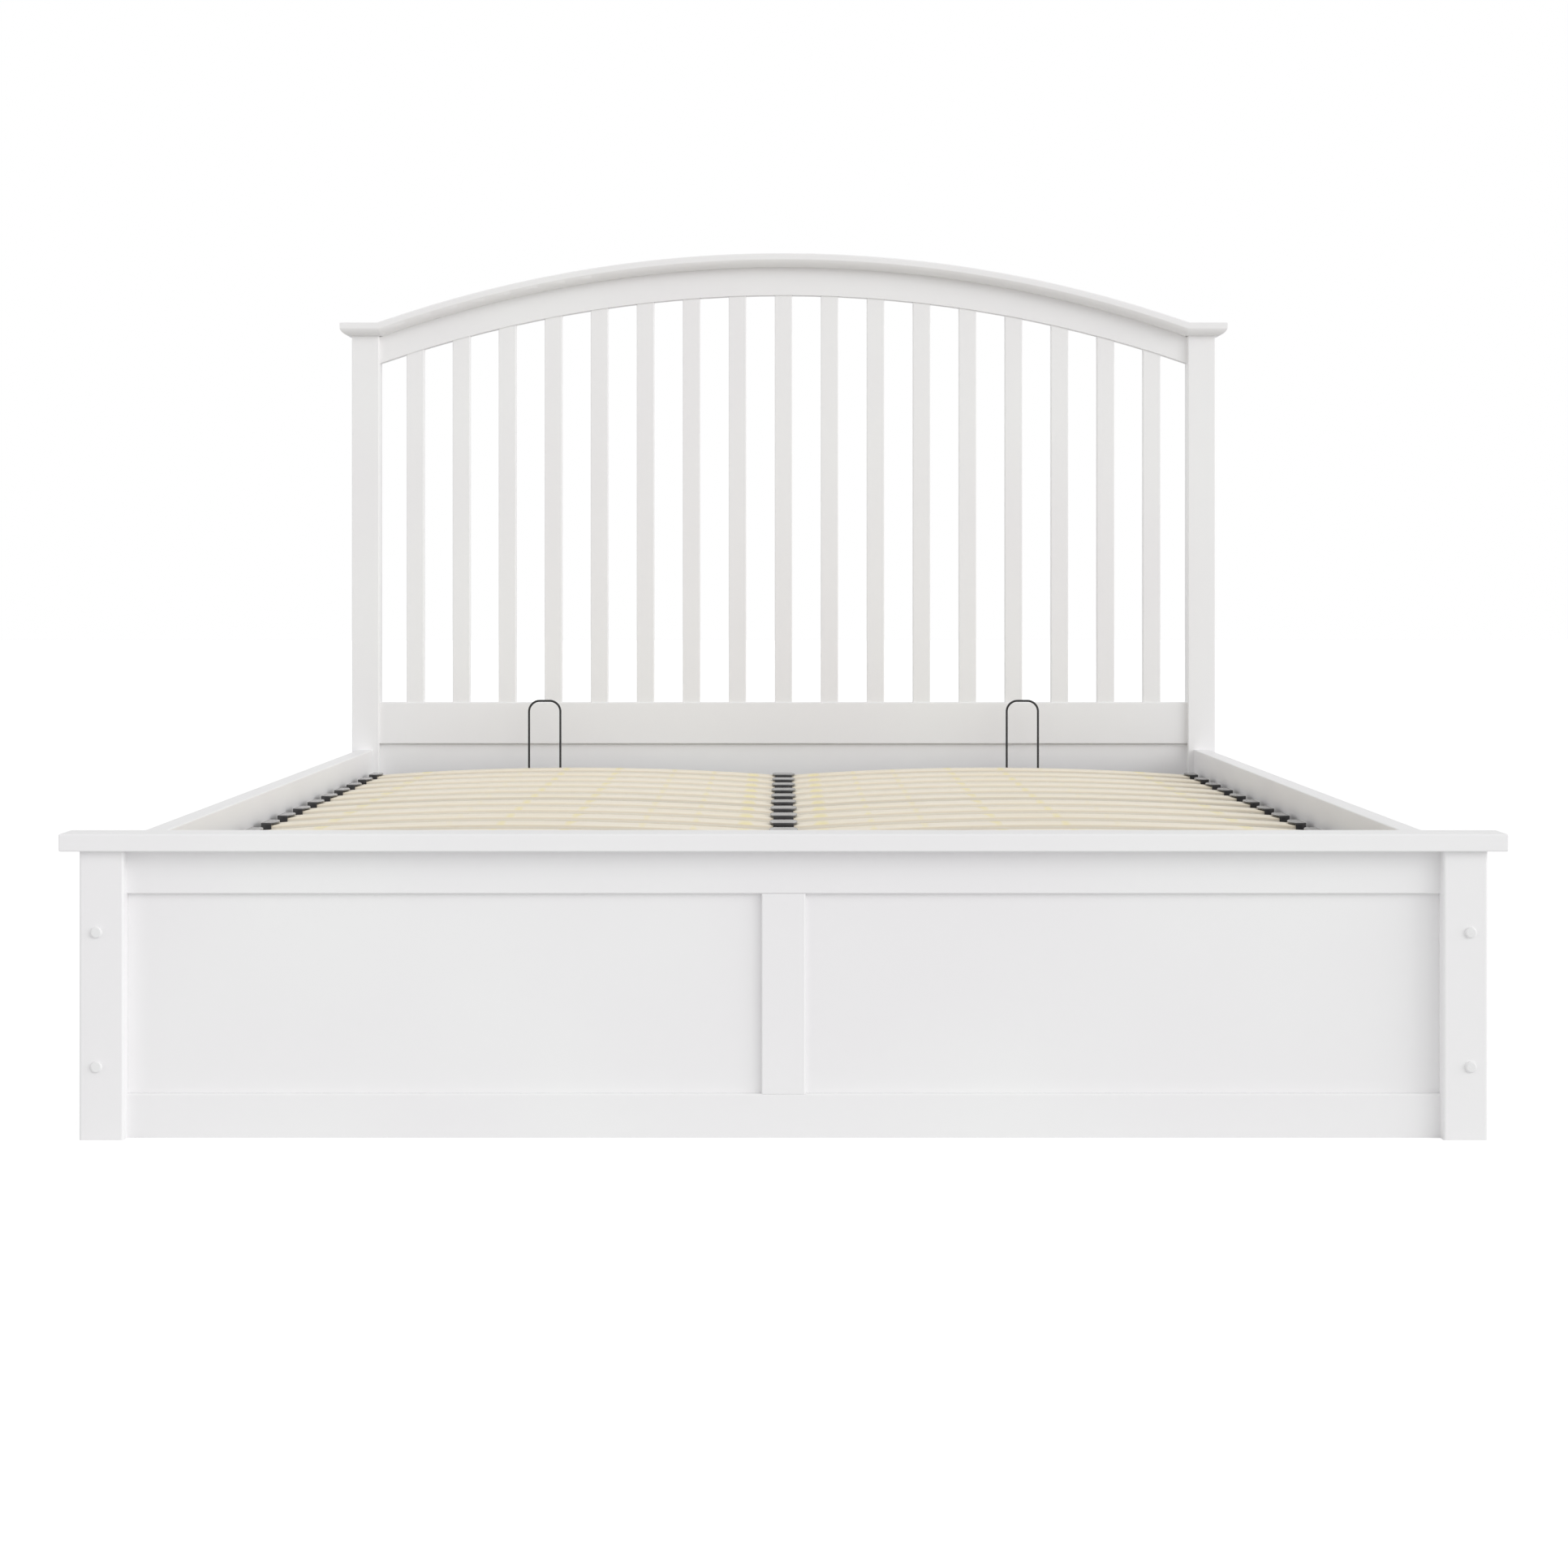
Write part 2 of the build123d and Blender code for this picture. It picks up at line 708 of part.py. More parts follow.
# Pressed steel bracket that stands the lower strut pin off the side rail
with BuildPart() as strut_bracket:
    with BuildSketch(Plane(origin=(0, lower_pin[0], bracket_base))):
        with BuildLine():
            outside = bracket_web / 2
            web_inside = bracket_web_x + bracket_thick
            Polyline(
                (bracket_web_x, 0),
                (bracket_web_x, outside),
                (bracket_face, outside),
                (bracket_face, outside + bracket_lip),
                (rail_inner_x, outside + bracket_lip),
                (rail_inner_x, outside - bracket_thick),
                (web_inside, outside - bracket_thick),
                (web_inside, 0),
            )
            mirror(about=Plane.XZ)
        make_face()
    extrude(amount=bracket_height)
    strut_pin(bracket_web_x, *lower_pin)
    for y, z in bracket_screw_places:
        with Locations(Plane(origin=(bracket_face, y, z), z_dir=(-1, 0, 0))):
            CounterSinkHole(
                screw_radius + running_clearance,
                screw_head_radius + running_clearance,
                bracket_thick,
                countersink_angle,
            )
write_pair(strut_bracket, "strut_bracket")

# Countersunk wood screws of the hinge plates and strut brackets
with BuildPart() as hardware_screws:
    screw_cone = (screw_head_radius - screw_radius) / math.tan(math.radians(countersink_angle / 2))
    screw_places = [(hinge_face, hinge_plate_thick, y, z) for y, z in hinge_screw_places]
    screw_places += [(bracket_face, bracket_thick, y, z) for y, z in bracket_screw_places]
    for side in (1, -1):
        for x, plate, y, z in screw_places:
            with Locations(Plane(origin=(side * x, y, z), z_dir=(side, 0, 0))):
                Cone(screw_head_radius, screw_radius, screw_cone, align=from_start)
                Cylinder(screw_radius, plate + screw_length - screw_end_room, align=from_start)
write(hardware_screws, "hardware_screws")

# Steel platform frame
peg_x = side_tube_outer + holder_overhang - peg_from_outside
with BuildPart() as side_tube:
    add(tube_between((side_tube_mid, platform_foot, tube_mid), (side_tube_mid, platform_head, tube_mid)))
    shoulder_bore = pivot_radius + running_clearance
    bar((side_tube_inner, pivot_y, pivot_z), (1, 0, 0), shoulder_bore, tube_width, Mode.SUBTRACT)
    for y in slat_ys:
        bar((peg_x, y, tube_top), (0, 0, -1), peg_radius + joint_slack, 2 * tube_wall, Mode.SUBTRACT)
write_pair(side_tube, "side_tube")

with BuildPart() as centre_tube:
    centre_start = (0, platform_foot + tube_width, tube_mid)
    add(tube_between(centre_start, (0, platform_head - tube_width, tube_mid)))
    for y in slat_ys:
        bar((0, y, tube_top), (0, 0, -1), peg_radius + joint_slack, 2 * tube_wall, Mode.SUBTRACT)
write(centre_tube, "centre_tube")

bar_feet = [side * bar_x + foot * bar_spread / 2 for side in (1, -1) for foot in (1, -1)]
bar_y = platform_head - bar_from_head
with BuildPart() as head_cross_tube:
    add(tube_between((-side_tube_inner, head_tube_y, tube_mid), (side_tube_inner, head_tube_y, tube_mid)))
    for x in bar_feet:
        bar_bore = wire_radius + running_clearance
        bar((x, bar_y, tube_top), (0, 0, -1), bar_bore, 2 * tube_wall, Mode.SUBTRACT)
write(head_cross_tube, "head_cross_tube")

strap_screw_xs = [side * (strap_reach - strap_foot_length / 2) for side in (1, -1)]
with BuildPart() as foot_cross_tube:
    add(tube_between((-side_tube_inner, foot_tube_y, tube_mid), (side_tube_inner, foot_tube_y, tube_mid)))
    for x in strap_screw_xs:
        strap_bore = strap_screw_radius + running_clearance
        bar((x, foot_tube_y, tube_top), (0, 0, -1), strap_bore, 2 * tube_wall, Mode.SUBTRACT)
write(foot_cross_tube, "foot_cross_tube")

with BuildPart() as mid_cross_tubes:
    for side in (1, -1):
        for y in [pivot_y + place for place in mid_tube_from_pivot]:
            add(tube_between((side * tube_width / 2, y, tube_mid), (side * side_tube_inner, y, tube_mid)))
write(mid_cross_tubes, "mid_cross_tubes")

with BuildPart() as tube_end_plugs:
    for side in (1, -1):
        for y, way in ((platform_foot, -1), (platform_head, 1)):
            face = Plane(origin=(side * side_tube_mid, y, tube_mid), x_dir=(1, 0, 0), z_dir=(0, way, 0))
            with BuildSketch(face):
                RectangleRounded(tube_width, tube_height, tube_corner)
            extrude(amount=plug_thick)
            with BuildSketch(face):
                inside = 2 * (tube_wall + joint_slack)
                RectangleRounded(tube_width - inside, tube_height - inside, tube_corner - tube_wall)
            extrude(amount=-plug_depth)
write(tube_end_plugs, "tube_end_plugs")

# Lift plates welded to the side tubes, and the pins for the struts' upper ends
with BuildPart() as lift_plate:
    block(
        (side_tube_outer, pivot_y - lift_plate_length / 2, tube_base),
        (side_tube_outer + lift_plate_thick, pivot_y + lift_plate_length / 2, tube_top),
    )
    fillet(lift_plate.edges().filter_by(Axis.X), plate_corner)
    bar((side_tube_outer, pivot_y, pivot_z), (1, 0, 0), shoulder_bore, lift_plate_thick, Mode.SUBTRACT)
write_pair(lift_plate, "lift_plate")

with BuildPart() as right_upper_pin:
    strut_pin(side_tube_inner, *upper_pin)
with BuildPart() as upper_strut_pins:
    add(right_upper_pin.part)
    mirror(right_upper_pin.part, about=Plane.YZ)
write(upper_strut_pins, "upper_strut_pins")

# Sprung slats, one layer of bent wood from holder to holder
slat_half_span = (slat_end - slat_start) / 2
slat_arc_radius = (slat_half_span**2 + slat_crown**2) / (2 * slat_crown)
slat_mid_radius = slat_arc_radius - slat_thick / 2
slat_reach = (slat_half_span + holder_pocket - joint_slack) * slat_mid_radius / slat_arc_radius


def slat_height(radius, reach):
    """Height on a slat's arc at a distance from the slat's middle."""
    return slat_mouth_top + slat_crown - slat_arc_radius + math.sqrt(radius**2 - reach**2)


slat_tip = slat_height(slat_mid_radius, slat_reach)
with BuildPart() as one_slat:
    with BuildLine(facing_foot(0)) as slat_line:
        ThreePointArc(
            (slat_centre - slat_reach, slat_tip),
            (slat_centre, slat_height(slat_mid_radius, 0)),
            (slat_centre + slat_reach, slat_tip),
        )
    with BuildSketch(Plane(origin=slat_line.line @ 0, x_dir=(0, 1, 0), z_dir=slat_line.line % 0)):
        RectangleRounded(slat_width, slat_thick, slat_edge_round)
    sweep(path=slat_line.line)

with BuildPart() as slats:
    with Locations(*[(0, y, 0) for y in slat_ys]):
        add(one_slat.part)
write_pair(slats, "slats")

# Plastic holders that take the slats' ends, each with a lip over the wood and a peg in its tube
holder_half = slat_width / 2 + holder_wall
lip_base = slat_mouth_top + holder_lip_gap
holder_top = lip_base + holder_lip
pocket_half = slat_width / 2 + joint_slack
pocket_base = slat_tip - slat_thick / 2 - joint_slack
pocket_top = slat_mouth_top + holder_slack
with BuildPart() as one_end_cap:
    holder_outer = slat_end + holder_body
    block((slat_end, -holder_half, tube_top), (holder_outer, holder_half, holder_top))
    with BuildSketch(Plane.XY.offset(lip_base)):
        with BuildLine():
            ThreePointArc((slat_end, holder_half), (slat_end - end_lip_reach, 0), (slat_end, -holder_half))
            Line((slat_end, -holder_half), (slat_end, holder_half))
        make_face()
    extrude(amount=holder_lip)
    fillet(one_end_cap.edges().group_by(Axis.X)[-1].filter_by(Axis.Z), edge_round)
    block(
        (slat_end - cut_past, -pocket_half, pocket_base),
        (slat_end + holder_pocket, pocket_half, pocket_top),
        Mode.SUBTRACT,
    )
    bar((peg_x, 0, tube_top), (0, 0, -1), peg_radius, peg_length)

with BuildPart() as end_caps:
    with Locations(*[(0, y, 0) for y in slat_ys]):
        add(one_end_cap.part)
write_pair(end_caps, "end_caps")

with BuildPart() as one_centre_cap:
    block((-holder_body, -holder_half, tube_top), (holder_body, holder_half, holder_top))
    for side in (1, -1):
        with BuildSketch(Plane.XY.offset(lip_base)):
            with BuildLine():
                mouth = side * holder_body
                tip = side * (holder_body + centre_lip_reach)
                ThreePointArc((mouth, holder_half), (tip, 0), (mouth, -holder_half))
                Line((mouth, -holder_half), (mouth, holder_half))
            make_face()
        extrude(amount=holder_lip)
        low_x, high_x = sorted((mouth + side * cut_past, mouth - side * holder_pocket))
        block((low_x, -pocket_half, pocket_base), (high_x, pocket_half, pocket_top), Mode.SUBTRACT)
    bar((0, 0, tube_top), (0, 0, -1), peg_radius, peg_length)

with BuildPart() as centre_caps:
    with Locations(*[(0, y, 0) for y in slat_ys]):
        add(one_centre_cap.part)
write(centre_caps, "centre_caps")

# Wire bar behind the mattress, its feet in the head cross tube
with BuildPart() as mattress_bar:
    foot_z = tube_top - bar_depth_in_tube
    with BuildLine(facing_foot(bar_y)) as bar_path:
        near = bar_x - bar_spread / 2
        far = bar_x + bar_spread / 2
        wire_top = bar_top - wire_radius
        FilletPolyline((near, foot_z), (near, wire_top), (far, wire_top), (far, foot_z), radius=bar_bend)
    with BuildSketch(Plane.XY.offset(foot_z)):
        with Locations((near, bar_y)):
            Circle(wire_radius)
    sweep(path=bar_path.line)
write_pair(mattress_bar, "mattress_bar")

# Webbing pull strap, screwed down at its two ends with room for a hand below it
with BuildPart() as lift_strap:
    with BuildSketch(facing_foot(foot_tube_y - strap_width / 2)):
        with BuildLine():
            pad_end = strap_reach - strap_foot_length
            crown_end = pad_end - strap_slope_length
            under = [(0, strap_crown), (crown_end, strap_crown), (pad_end, 0), (strap_reach, 0)]
            over = [(x, z + strap_thick) for x, z in reversed(under)]
            Polyline(*[(x, tube_top + z) for x, z in under + over])
            mirror(about=Plane.YZ)
        make_face()
    extrude(amount=-strap_width)
    for x in strap_screw_xs:
        bar((x, foot_tube_y, tube_top), (0, 0, 1), strap_bore, strap_thick, Mode.SUBTRACT)
write(lift_strap, "lift_strap")

with BuildPart() as strap_screws:
    for x in strap_screw_xs:
        strap_top = tube_top + strap_thick
        bar((x, foot_tube_y, strap_top), (0, 0, 1), strap_screw_head_radius, strap_screw_head)
        bar((x, foot_tube_y, strap_top), (0, 0, -1), strap_screw_radius, strap_thick + strap_screw_length)
    fillet(strap_screws.edges().group_by(Axis.Z)[-1], strap_screw_head / 2)
write(strap_screws, "strap_screws")

# Gas strut, drawn along the line between its two pins
strut_plane = Plane(origin=(strut_x, *lower_pin), x_dir=(1, 0, 0), z_dir=strut_line)
opening_angle = math.radians(lift_angle)
closed_angle = 2 * math.asin(strut_length / 2 / strut_pin_radius)
open_length = 2 * strut_pin_radius * math.sin((closed_angle + opening_angle) / 2)
bore_start = piston_start - side_play
bore_end = cylinder_start + cylinder_length - cylinder_end_wall
stroke = open_length - strut_length
print(f"strut closed {strut_length:.2f}, open {open_length:.2f}, stroke {stroke:.2f}")
print(f"room left in the cylinder {bore_end - piston_start - piston_length - stroke:.2f}")


def along_strut(radius, start, length, mode=Mode.ADD):
    """A round length of the strut, from a distance past the lower pin."""
    with Locations((0, 0, start)):
        Cylinder(radius, length, align=from_start, mode=mode)


def strut_eye(place):
    """An eye on the strut's line, bored for its pin."""
    with Locations(Location((0, 0, place), (0, 90, 0))):
        Cylinder(eye_radius, eye_width)
        Cylinder(pin_radius + running_clearance, eye_width, mode=Mode.SUBTRACT)


neck_start = eye_radius / 2
with BuildPart(strut_plane) as strut_cylinder:
    along_strut(neck_radius, neck_start, cylinder_start - neck_start)
    along_strut(cylinder_radius, cylinder_start, cylinder_length)
    rims = strut_cylinder.edges().filter_by(GeomType.CIRCLE)
    fillet(rims.filter_by(lambda rim: rim.radius == cylinder_radius), edge_round)
    along_strut(cylinder_radius - cylinder_wall, bore_start, bore_end - bore_start, Mode.SUBTRACT)
    along_strut(rod_radius + running_clearance, bore_end, cylinder_end_wall, Mode.SUBTRACT)
    strut_eye(0)
write_pair(strut_cylinder, "strut_cylinder")

with BuildPart(strut_plane) as strut_rod:
    fitting_end = strut_length - neck_start
    along_strut(cylinder_radius - cylinder_wall - running_clearance, piston_start, piston_length)
    along_strut(rod_radius, piston_start, fitting_end - piston_start)
    along_strut(rod_fitting_radius, fitting_end - rod_fitting_length, rod_fitting_length)
    strut_eye(strut_length)
write_pair(strut_rod, "strut_rod")
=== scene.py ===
import json
import math

import bpy
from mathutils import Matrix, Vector


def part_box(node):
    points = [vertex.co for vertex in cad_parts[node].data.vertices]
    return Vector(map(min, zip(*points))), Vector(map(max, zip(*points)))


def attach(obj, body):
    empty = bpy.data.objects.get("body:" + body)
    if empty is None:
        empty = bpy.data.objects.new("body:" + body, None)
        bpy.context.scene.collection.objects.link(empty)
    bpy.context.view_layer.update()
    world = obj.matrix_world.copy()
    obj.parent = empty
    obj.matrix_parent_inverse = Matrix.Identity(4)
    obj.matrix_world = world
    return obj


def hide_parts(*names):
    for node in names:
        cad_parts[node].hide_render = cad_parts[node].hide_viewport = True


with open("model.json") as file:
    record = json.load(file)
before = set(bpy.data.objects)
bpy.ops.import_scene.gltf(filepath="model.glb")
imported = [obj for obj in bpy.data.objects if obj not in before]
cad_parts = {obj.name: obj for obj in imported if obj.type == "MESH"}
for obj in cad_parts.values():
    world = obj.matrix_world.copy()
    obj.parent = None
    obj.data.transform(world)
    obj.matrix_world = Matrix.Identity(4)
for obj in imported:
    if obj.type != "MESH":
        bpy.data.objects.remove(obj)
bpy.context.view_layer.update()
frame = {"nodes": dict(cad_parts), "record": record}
bpy.ops.object.select_all(action="DESELECT")

# The bed stands on the floor at Z 0, with its headboard towards +Y. Sizes are in metres.

# Camera of the photograph, level and square to the footboard
CAMERA_PLACE = (0, -4.1908, 0.5613)
CAMERA_LENS = 71.35
CAMERA_SENSOR = 36
CAMERA_SHIFT = (0.0003, -0.1240)

# Colours in sRGB, from 0 to 255
PAINT = (247, 247, 247)
PAINT_SHADE = (245, 244, 245)
SLAT_VENEER = (252, 242, 221)
SLAT_STREAK = (250, 237, 180)
SLAT_PALE = (252, 243, 226)
SLAT_GRAIN = (248, 234, 204)
SLAT_PLY_LIGHT = (254, 247, 231)
SLAT_PLY_DARK = (251, 239, 218)
PINE = (226, 202, 160)
PINE_RING = (204, 170, 118)
BOARD = (238, 237, 234)
BOARD_FLECK = (228, 226, 221)
PLASTIC_WHITE = (238, 238, 238)
PLASTIC_BLACK = (67, 66, 67)
RUBBER = (28, 28, 29)
POWDER_COAT = (26, 26, 28)
ZINC = (188, 190, 194)
ZINC_TINT = (170, 172, 168)
STRUT_PAINT = (24, 24, 26)
CHROME = (214, 216, 219)
WEBBING = (34, 34, 36)
WEBBING_RIB = (52, 52, 54)

# Light, as the share of its own colour at which a white surface renders
SKY_LIGHT = 0.62
WHITE = (1, 1, 1, 1)

# Lamps: name, degrees to the right of the camera, degrees above the floor, and level
LAMPS = (
    ("key", 66, 10, 0.32),
    ("front", 35, 25, 0.16),
    ("fill", -65, 12, 0.12),
)
LAMP_SPREAD = 40
LAMP_DISTANCE = 6

# Floor
FLOOR_SIZE = 60
FLOOR_COLOUR = (228, 228, 228)
FLOOR_GLOW = 0.5
FLOOR_ROUGHNESS = 0.9
FLOOR_SHINE = 0.1

# The slats' texture map, in which every slat of a column has the same place
SLAT_MAP = "along_the_slat"

# Sockets of a mix node that is set to colours
FIRST_COLOUR = 6
SECOND_COLOUR = 7
MIXED_COLOUR = 2

view = bpy.context.scene.view_settings
view.view_transform = "Standard"


def linear(colour):
    """An sRGB colour, 0 to 255, as the linear RGBA that a shader takes."""
    parts = [c / 255 for c in colour]
    return [c / 12.92 if c <= 0.04045 else ((c + 0.055) / 1.055) ** 2.4 for c in parts] + [1]


def node(owner, kind, inputs=(), **settings):
    """A node of a material or world, with inputs that are values or other nodes' outputs."""
    made = owner.node_tree.nodes.new(kind)
    for name, value in settings.items():
        setattr(made, name, value)
    for name, value in dict(inputs).items():
        if isinstance(value, bpy.types.NodeSocket):
            owner.node_tree.links.new(value, made.inputs[name])
        else:
            made.inputs[name].default_value = value
    return made


def new_finish(name, roughness, metallic=0):
    """A material whose shader has its plain values set, and the object's own coordinates."""
    finish = bpy.data.materials.new(name)
    finish.use_nodes = True
    shader = finish.node_tree.nodes["Principled BSDF"]
    shader.inputs["Roughness"].default_value = roughness
    shader.inputs["Metallic"].default_value = metallic
    place = node(finish, "ShaderNodeTexCoord").outputs["Object"]
    return finish, shader, place


def noise(finish, place, scale, detail=3, stretch=(1, 1, 1), roughness=0.5):
    """Noise from 0 to 1 at a place, drawn out along the axes whose stretch is small."""
    mapped = node(finish, "ShaderNodeMapping", {"Vector": place, "Scale": stretch})
    made = node(
        finish,
        "ShaderNodeTexNoise",
        {"Vector": mapped.outputs[0], "Scale": scale, "Detail": detail, "Roughness": roughness},
    )
    return made.outputs["Factor"] if "Factor" in made.outputs else made.outputs["Fac"]


def between(finish, value, low, high, to_low=0, to_high=1):
    """A value carried from one range to another and held inside it."""
    given = {"Value": value, "From Min": low, "From Max": high}
    wanted = {"To Min": to_low, "To Max": to_high}
    return node(finish, "ShaderNodeMapRange", given | wanted).outputs[0]


def blend_colours(finish, share, first, second):
    """A mix of two colours, each an sRGB colour or another node's output."""
    mix = node(finish, "ShaderNodeMix", data_type="RGBA")
    pairs = ((mix.inputs[FIRST_COLOUR], first), (mix.inputs[SECOND_COLOUR], second))
    for socket, colour in pairs:
        if isinstance(colour, bpy.types.NodeSocket):
            finish.node_tree.links.new(colour, socket)
        else:
            socket.default_value = linear(colour)
    finish.node_tree.links.new(share, mix.inputs[0])
    return mix.outputs[MIXED_COLOUR]


def connect(finish, shader, colour=None, roughness=None, height=None, depth=0.0001, strength=1):
    """Take the finished patterns to the shader, with a bump of a depth in metres."""
    if colour is not None:
        finish.node_tree.links.new(colour, shader.inputs["Base Color"])
    if roughness is not None:
        finish.node_tree.links.new(roughness, shader.inputs["Roughness"])
    if height is not None:
        inputs = {"Height": height, "Strength": strength, "Distance": depth}
        bump = node(finish, "ShaderNodeBump", inputs)
        finish.node_tree.links.new(bump.outputs[0], shader.inputs["Normal"])


def painted_timber(name, stretch):
    """Satin white paint over timber whose grain runs along the axis that isn't stretched."""
    finish, shader, place = new_finish(name, roughness=0.42)
    cloud = noise(finish, place, scale=3.1, detail=2)
    grain = noise(finish, place, scale=420, detail=2, stretch=stretch)
    tint = blend_colours(finish, between(finish, cloud, 0.35, 0.65), PAINT, PAINT_SHADE)
    sheen = between(finish, grain, 0.3, 0.7, 0.38, 0.47)
    connect(finish, shader, tint, sheen, grain, depth=0.00002, strength=0.5)
    return finish


def slat_veneer():
    """Clear bent birch: fine grain along X, and yellow flecks that each slat has alike."""
    finish, shader, place = new_finish("slat_wood", roughness=0.48)
    along = node(finish, "ShaderNodeUVMap", uv_map=SLAT_MAP).outputs[0]
    fleck = noise(finish, along, scale=32, detail=1, stretch=(1, 0.12, 1))
    streak = noise(finish, place, scale=60, detail=4, stretch=(0.08, 1, 1))
    patch = noise(finish, along, scale=9, detail=2, stretch=(0.8, 0.5, 1))
    fibre = noise(finish, place, scale=700, detail=3, stretch=(0.03, 1, 1))
    pale = blend_colours(finish, between(finish, patch, 0.35, 0.65), SLAT_VENEER, SLAT_PALE)
    base = blend_colours(finish, between(finish, streak, 0.45, 0.8, to_high=0.5), pale, SLAT_GRAIN)
    yellow = between(finish, fleck, 0.57, 0.68, to_high=0.85)
    figure = blend_colours(finish, yellow, base, SLAT_STREAK)
    sheen = between(finish, fibre, 0.3, 0.7, 0.42, 0.56)
    connect(finish, shader, figure, sheen, fibre, depth=0.00004, strength=0.6)
    return finish


def slat_plies(arc_x, arc_z, outside, ply):
    """The long edge of a bent slat, where its layers show as lines that follow the bend."""
    finish, shader, place = new_finish("slat_plies", roughness=0.6)
    axes = node(finish, "ShaderNodeSeparateXYZ", {0: place}).outputs
    across = node(finish, "ShaderNodeMath", {0: axes[0]}, operation="ABSOLUTE").outputs[0]
    flat = node(finish, "ShaderNodeCombineXYZ", {0: across, 2: axes[2]}).outputs[0]
    points = {0: flat, 1: (arc_x, 0, arc_z)}
    reach = node(finish, "ShaderNodeVectorMath", points, operation="DISTANCE").outputs["Value"]
    depth = node(finish, "ShaderNodeMath", {0: outside, 1: reach}, operation="SUBTRACT").outputs[0]
    layer = node(finish, "ShaderNodeMath", {0: depth, 1: 2 * ply}, operation="DIVIDE").outputs[0]
    wave = node(finish, "ShaderNodeMath", {0: layer, 1: 1.0}, operation="PINGPONG").outputs[0]
    fibre = noise(finish, place, scale=500, detail=3, stretch=(0.1, 1, 1))
    banded = node(finish, "ShaderNodeMath", {0: wave, 1: fibre}, operation="ADD").outputs[0]
    share = between(finish, banded, 0.75, 1.25)
    tone = blend_colours(finish, share, SLAT_PLY_LIGHT, SLAT_PLY_DARK)
    connect(finish, shader, tone, None, share, depth=0.00004, strength=0.4)
    return finish


def sawn_pine():
    """Planed pine left bare, with rings drawn along X."""
    finish, shader, place = new_finish("bare_pine", roughness=0.62)
    ring = noise(finish, place, scale=60, detail=4, stretch=(0.05, 1, 1))
    fibre = noise(finish, place, scale=900, detail=2, stretch=(0.03, 1, 1))
    figure = blend_colours(finish, between(finish, ring, 0.4, 0.62), PINE, PINE_RING)
    connect(finish, shader, figure, None, fibre, depth=0.00006, strength=0.7)
    return finish


def hardboard():
    """Pale faced board with faint flecks."""
    finish, shader, place = new_finish("floor_board", roughness=0.55)
    fleck = noise(finish, place, scale=260, detail=4)
    face = blend_colours(finish, between(finish, fleck, 0.5, 0.75), BOARD, BOARD_FLECK)
    connect(finish, shader, face, None, fleck, depth=0.00005, strength=0.5)
    return finish


def moulded_plastic(name, colour, roughness):
    """Injection moulded plastic with a fine spark texture."""
    finish, shader, place = new_finish(name, roughness=roughness)
    spark = noise(finish, place, scale=1600, detail=2)
    worn = tuple(min(255, c + 6) for c in colour)
    tone = blend_colours(finish, between(finish, spark, 0.4, 0.7), colour, worn)
    sheen = between(finish, spark, 0.3, 0.7, roughness * 0.85, roughness * 1.2)
    connect(finish, shader, tone, sheen, spark, depth=0.00001, strength=0.4)
    return finish


def powder_coat():
    """Black powder coat with its orange peel."""
    finish, shader, place = new_finish("coated_steel", roughness=0.38)
    peel = noise(finish, place, scale=520, detail=2)
    lighter = tuple(c + 8 for c in POWDER_COAT)
    tone = blend_colours(finish, between(finish, peel, 0.35, 0.7), POWDER_COAT, lighter)
    sheen = between(finish, peel, 0.3, 0.7, 0.33, 0.46)
    connect(finish, shader, tone, sheen, peel, depth=0.00006, strength=0.8)
    return finish


def zinc_plate():
    """Bright zinc on steel, faintly clouded."""
    finish, shader, place = new_finish("zinc_steel", roughness=0.3, metallic=1)
    cloud = noise(finish, place, scale=140, detail=3)
    tone = blend_colours(finish, between(finish, cloud, 0.35, 0.65), ZINC, ZINC_TINT)
    connect(finish, shader, tone, between(finish, cloud, 0.3, 0.7, 0.24, 0.38))
    return finish


def strut_paint():
    """Glossy black paint of the gas strut's tube."""
    finish, shader, place = new_finish("strut_tube", roughness=0.24)
    peel = noise(finish, place, scale=700, detail=2)
    lighter = tuple(c + 5 for c in STRUT_PAINT)
    tone = blend_colours(finish, between(finish, peel, 0.35, 0.7), STRUT_PAINT, lighter)
    sheen = between(finish, peel, 0.3, 0.7, 0.2, 0.3)
    connect(finish, shader, tone, sheen, peel, depth=0.00003, strength=0.5)
    return finish


def chrome_rod():
    """Ground and chromed rod, with fine marks round it."""
    finish, shader, place = new_finish("strut_chrome", roughness=0.1, metallic=1)
    mark = noise(finish, place, scale=2400, detail=1, stretch=(0.02, 1, 1))
    darker = tuple(c - 8 for c in CHROME)
    tone = blend_colours(finish, between(finish, mark, 0.35, 0.7), CHROME, darker)
    connect(finish, shader, tone, between(finish, mark, 0.3, 0.7, 0.07, 0.16))
    return finish


def webbing():
    """Woven polypropylene webbing, ribbed across and along."""
    finish, shader, place = new_finish("black_webbing", roughness=0.7)
    warp = node(
        finish,
        "ShaderNodeTexWave",
        {"Vector": place, "Scale": 130.0, "Distortion": 0.4},
        bands_direction="Y",
    ).outputs["Fac"]
    weft = node(
        finish,
        "ShaderNodeTexWave",
        {"Vector": place, "Scale": 160.0, "Distortion": 0.3},
        bands_direction="X",
    ).outputs["Fac"]
    weave = node(finish, "ShaderNodeMath", {0: warp, 1: weft}, operation="MULTIPLY").outputs[0]
    tone = blend_colours(finish, weave, WEBBING, WEBBING_RIB)
    connect(finish, shader, tone, None, weave, depth=0.0004, strength=0.9)
    return finish


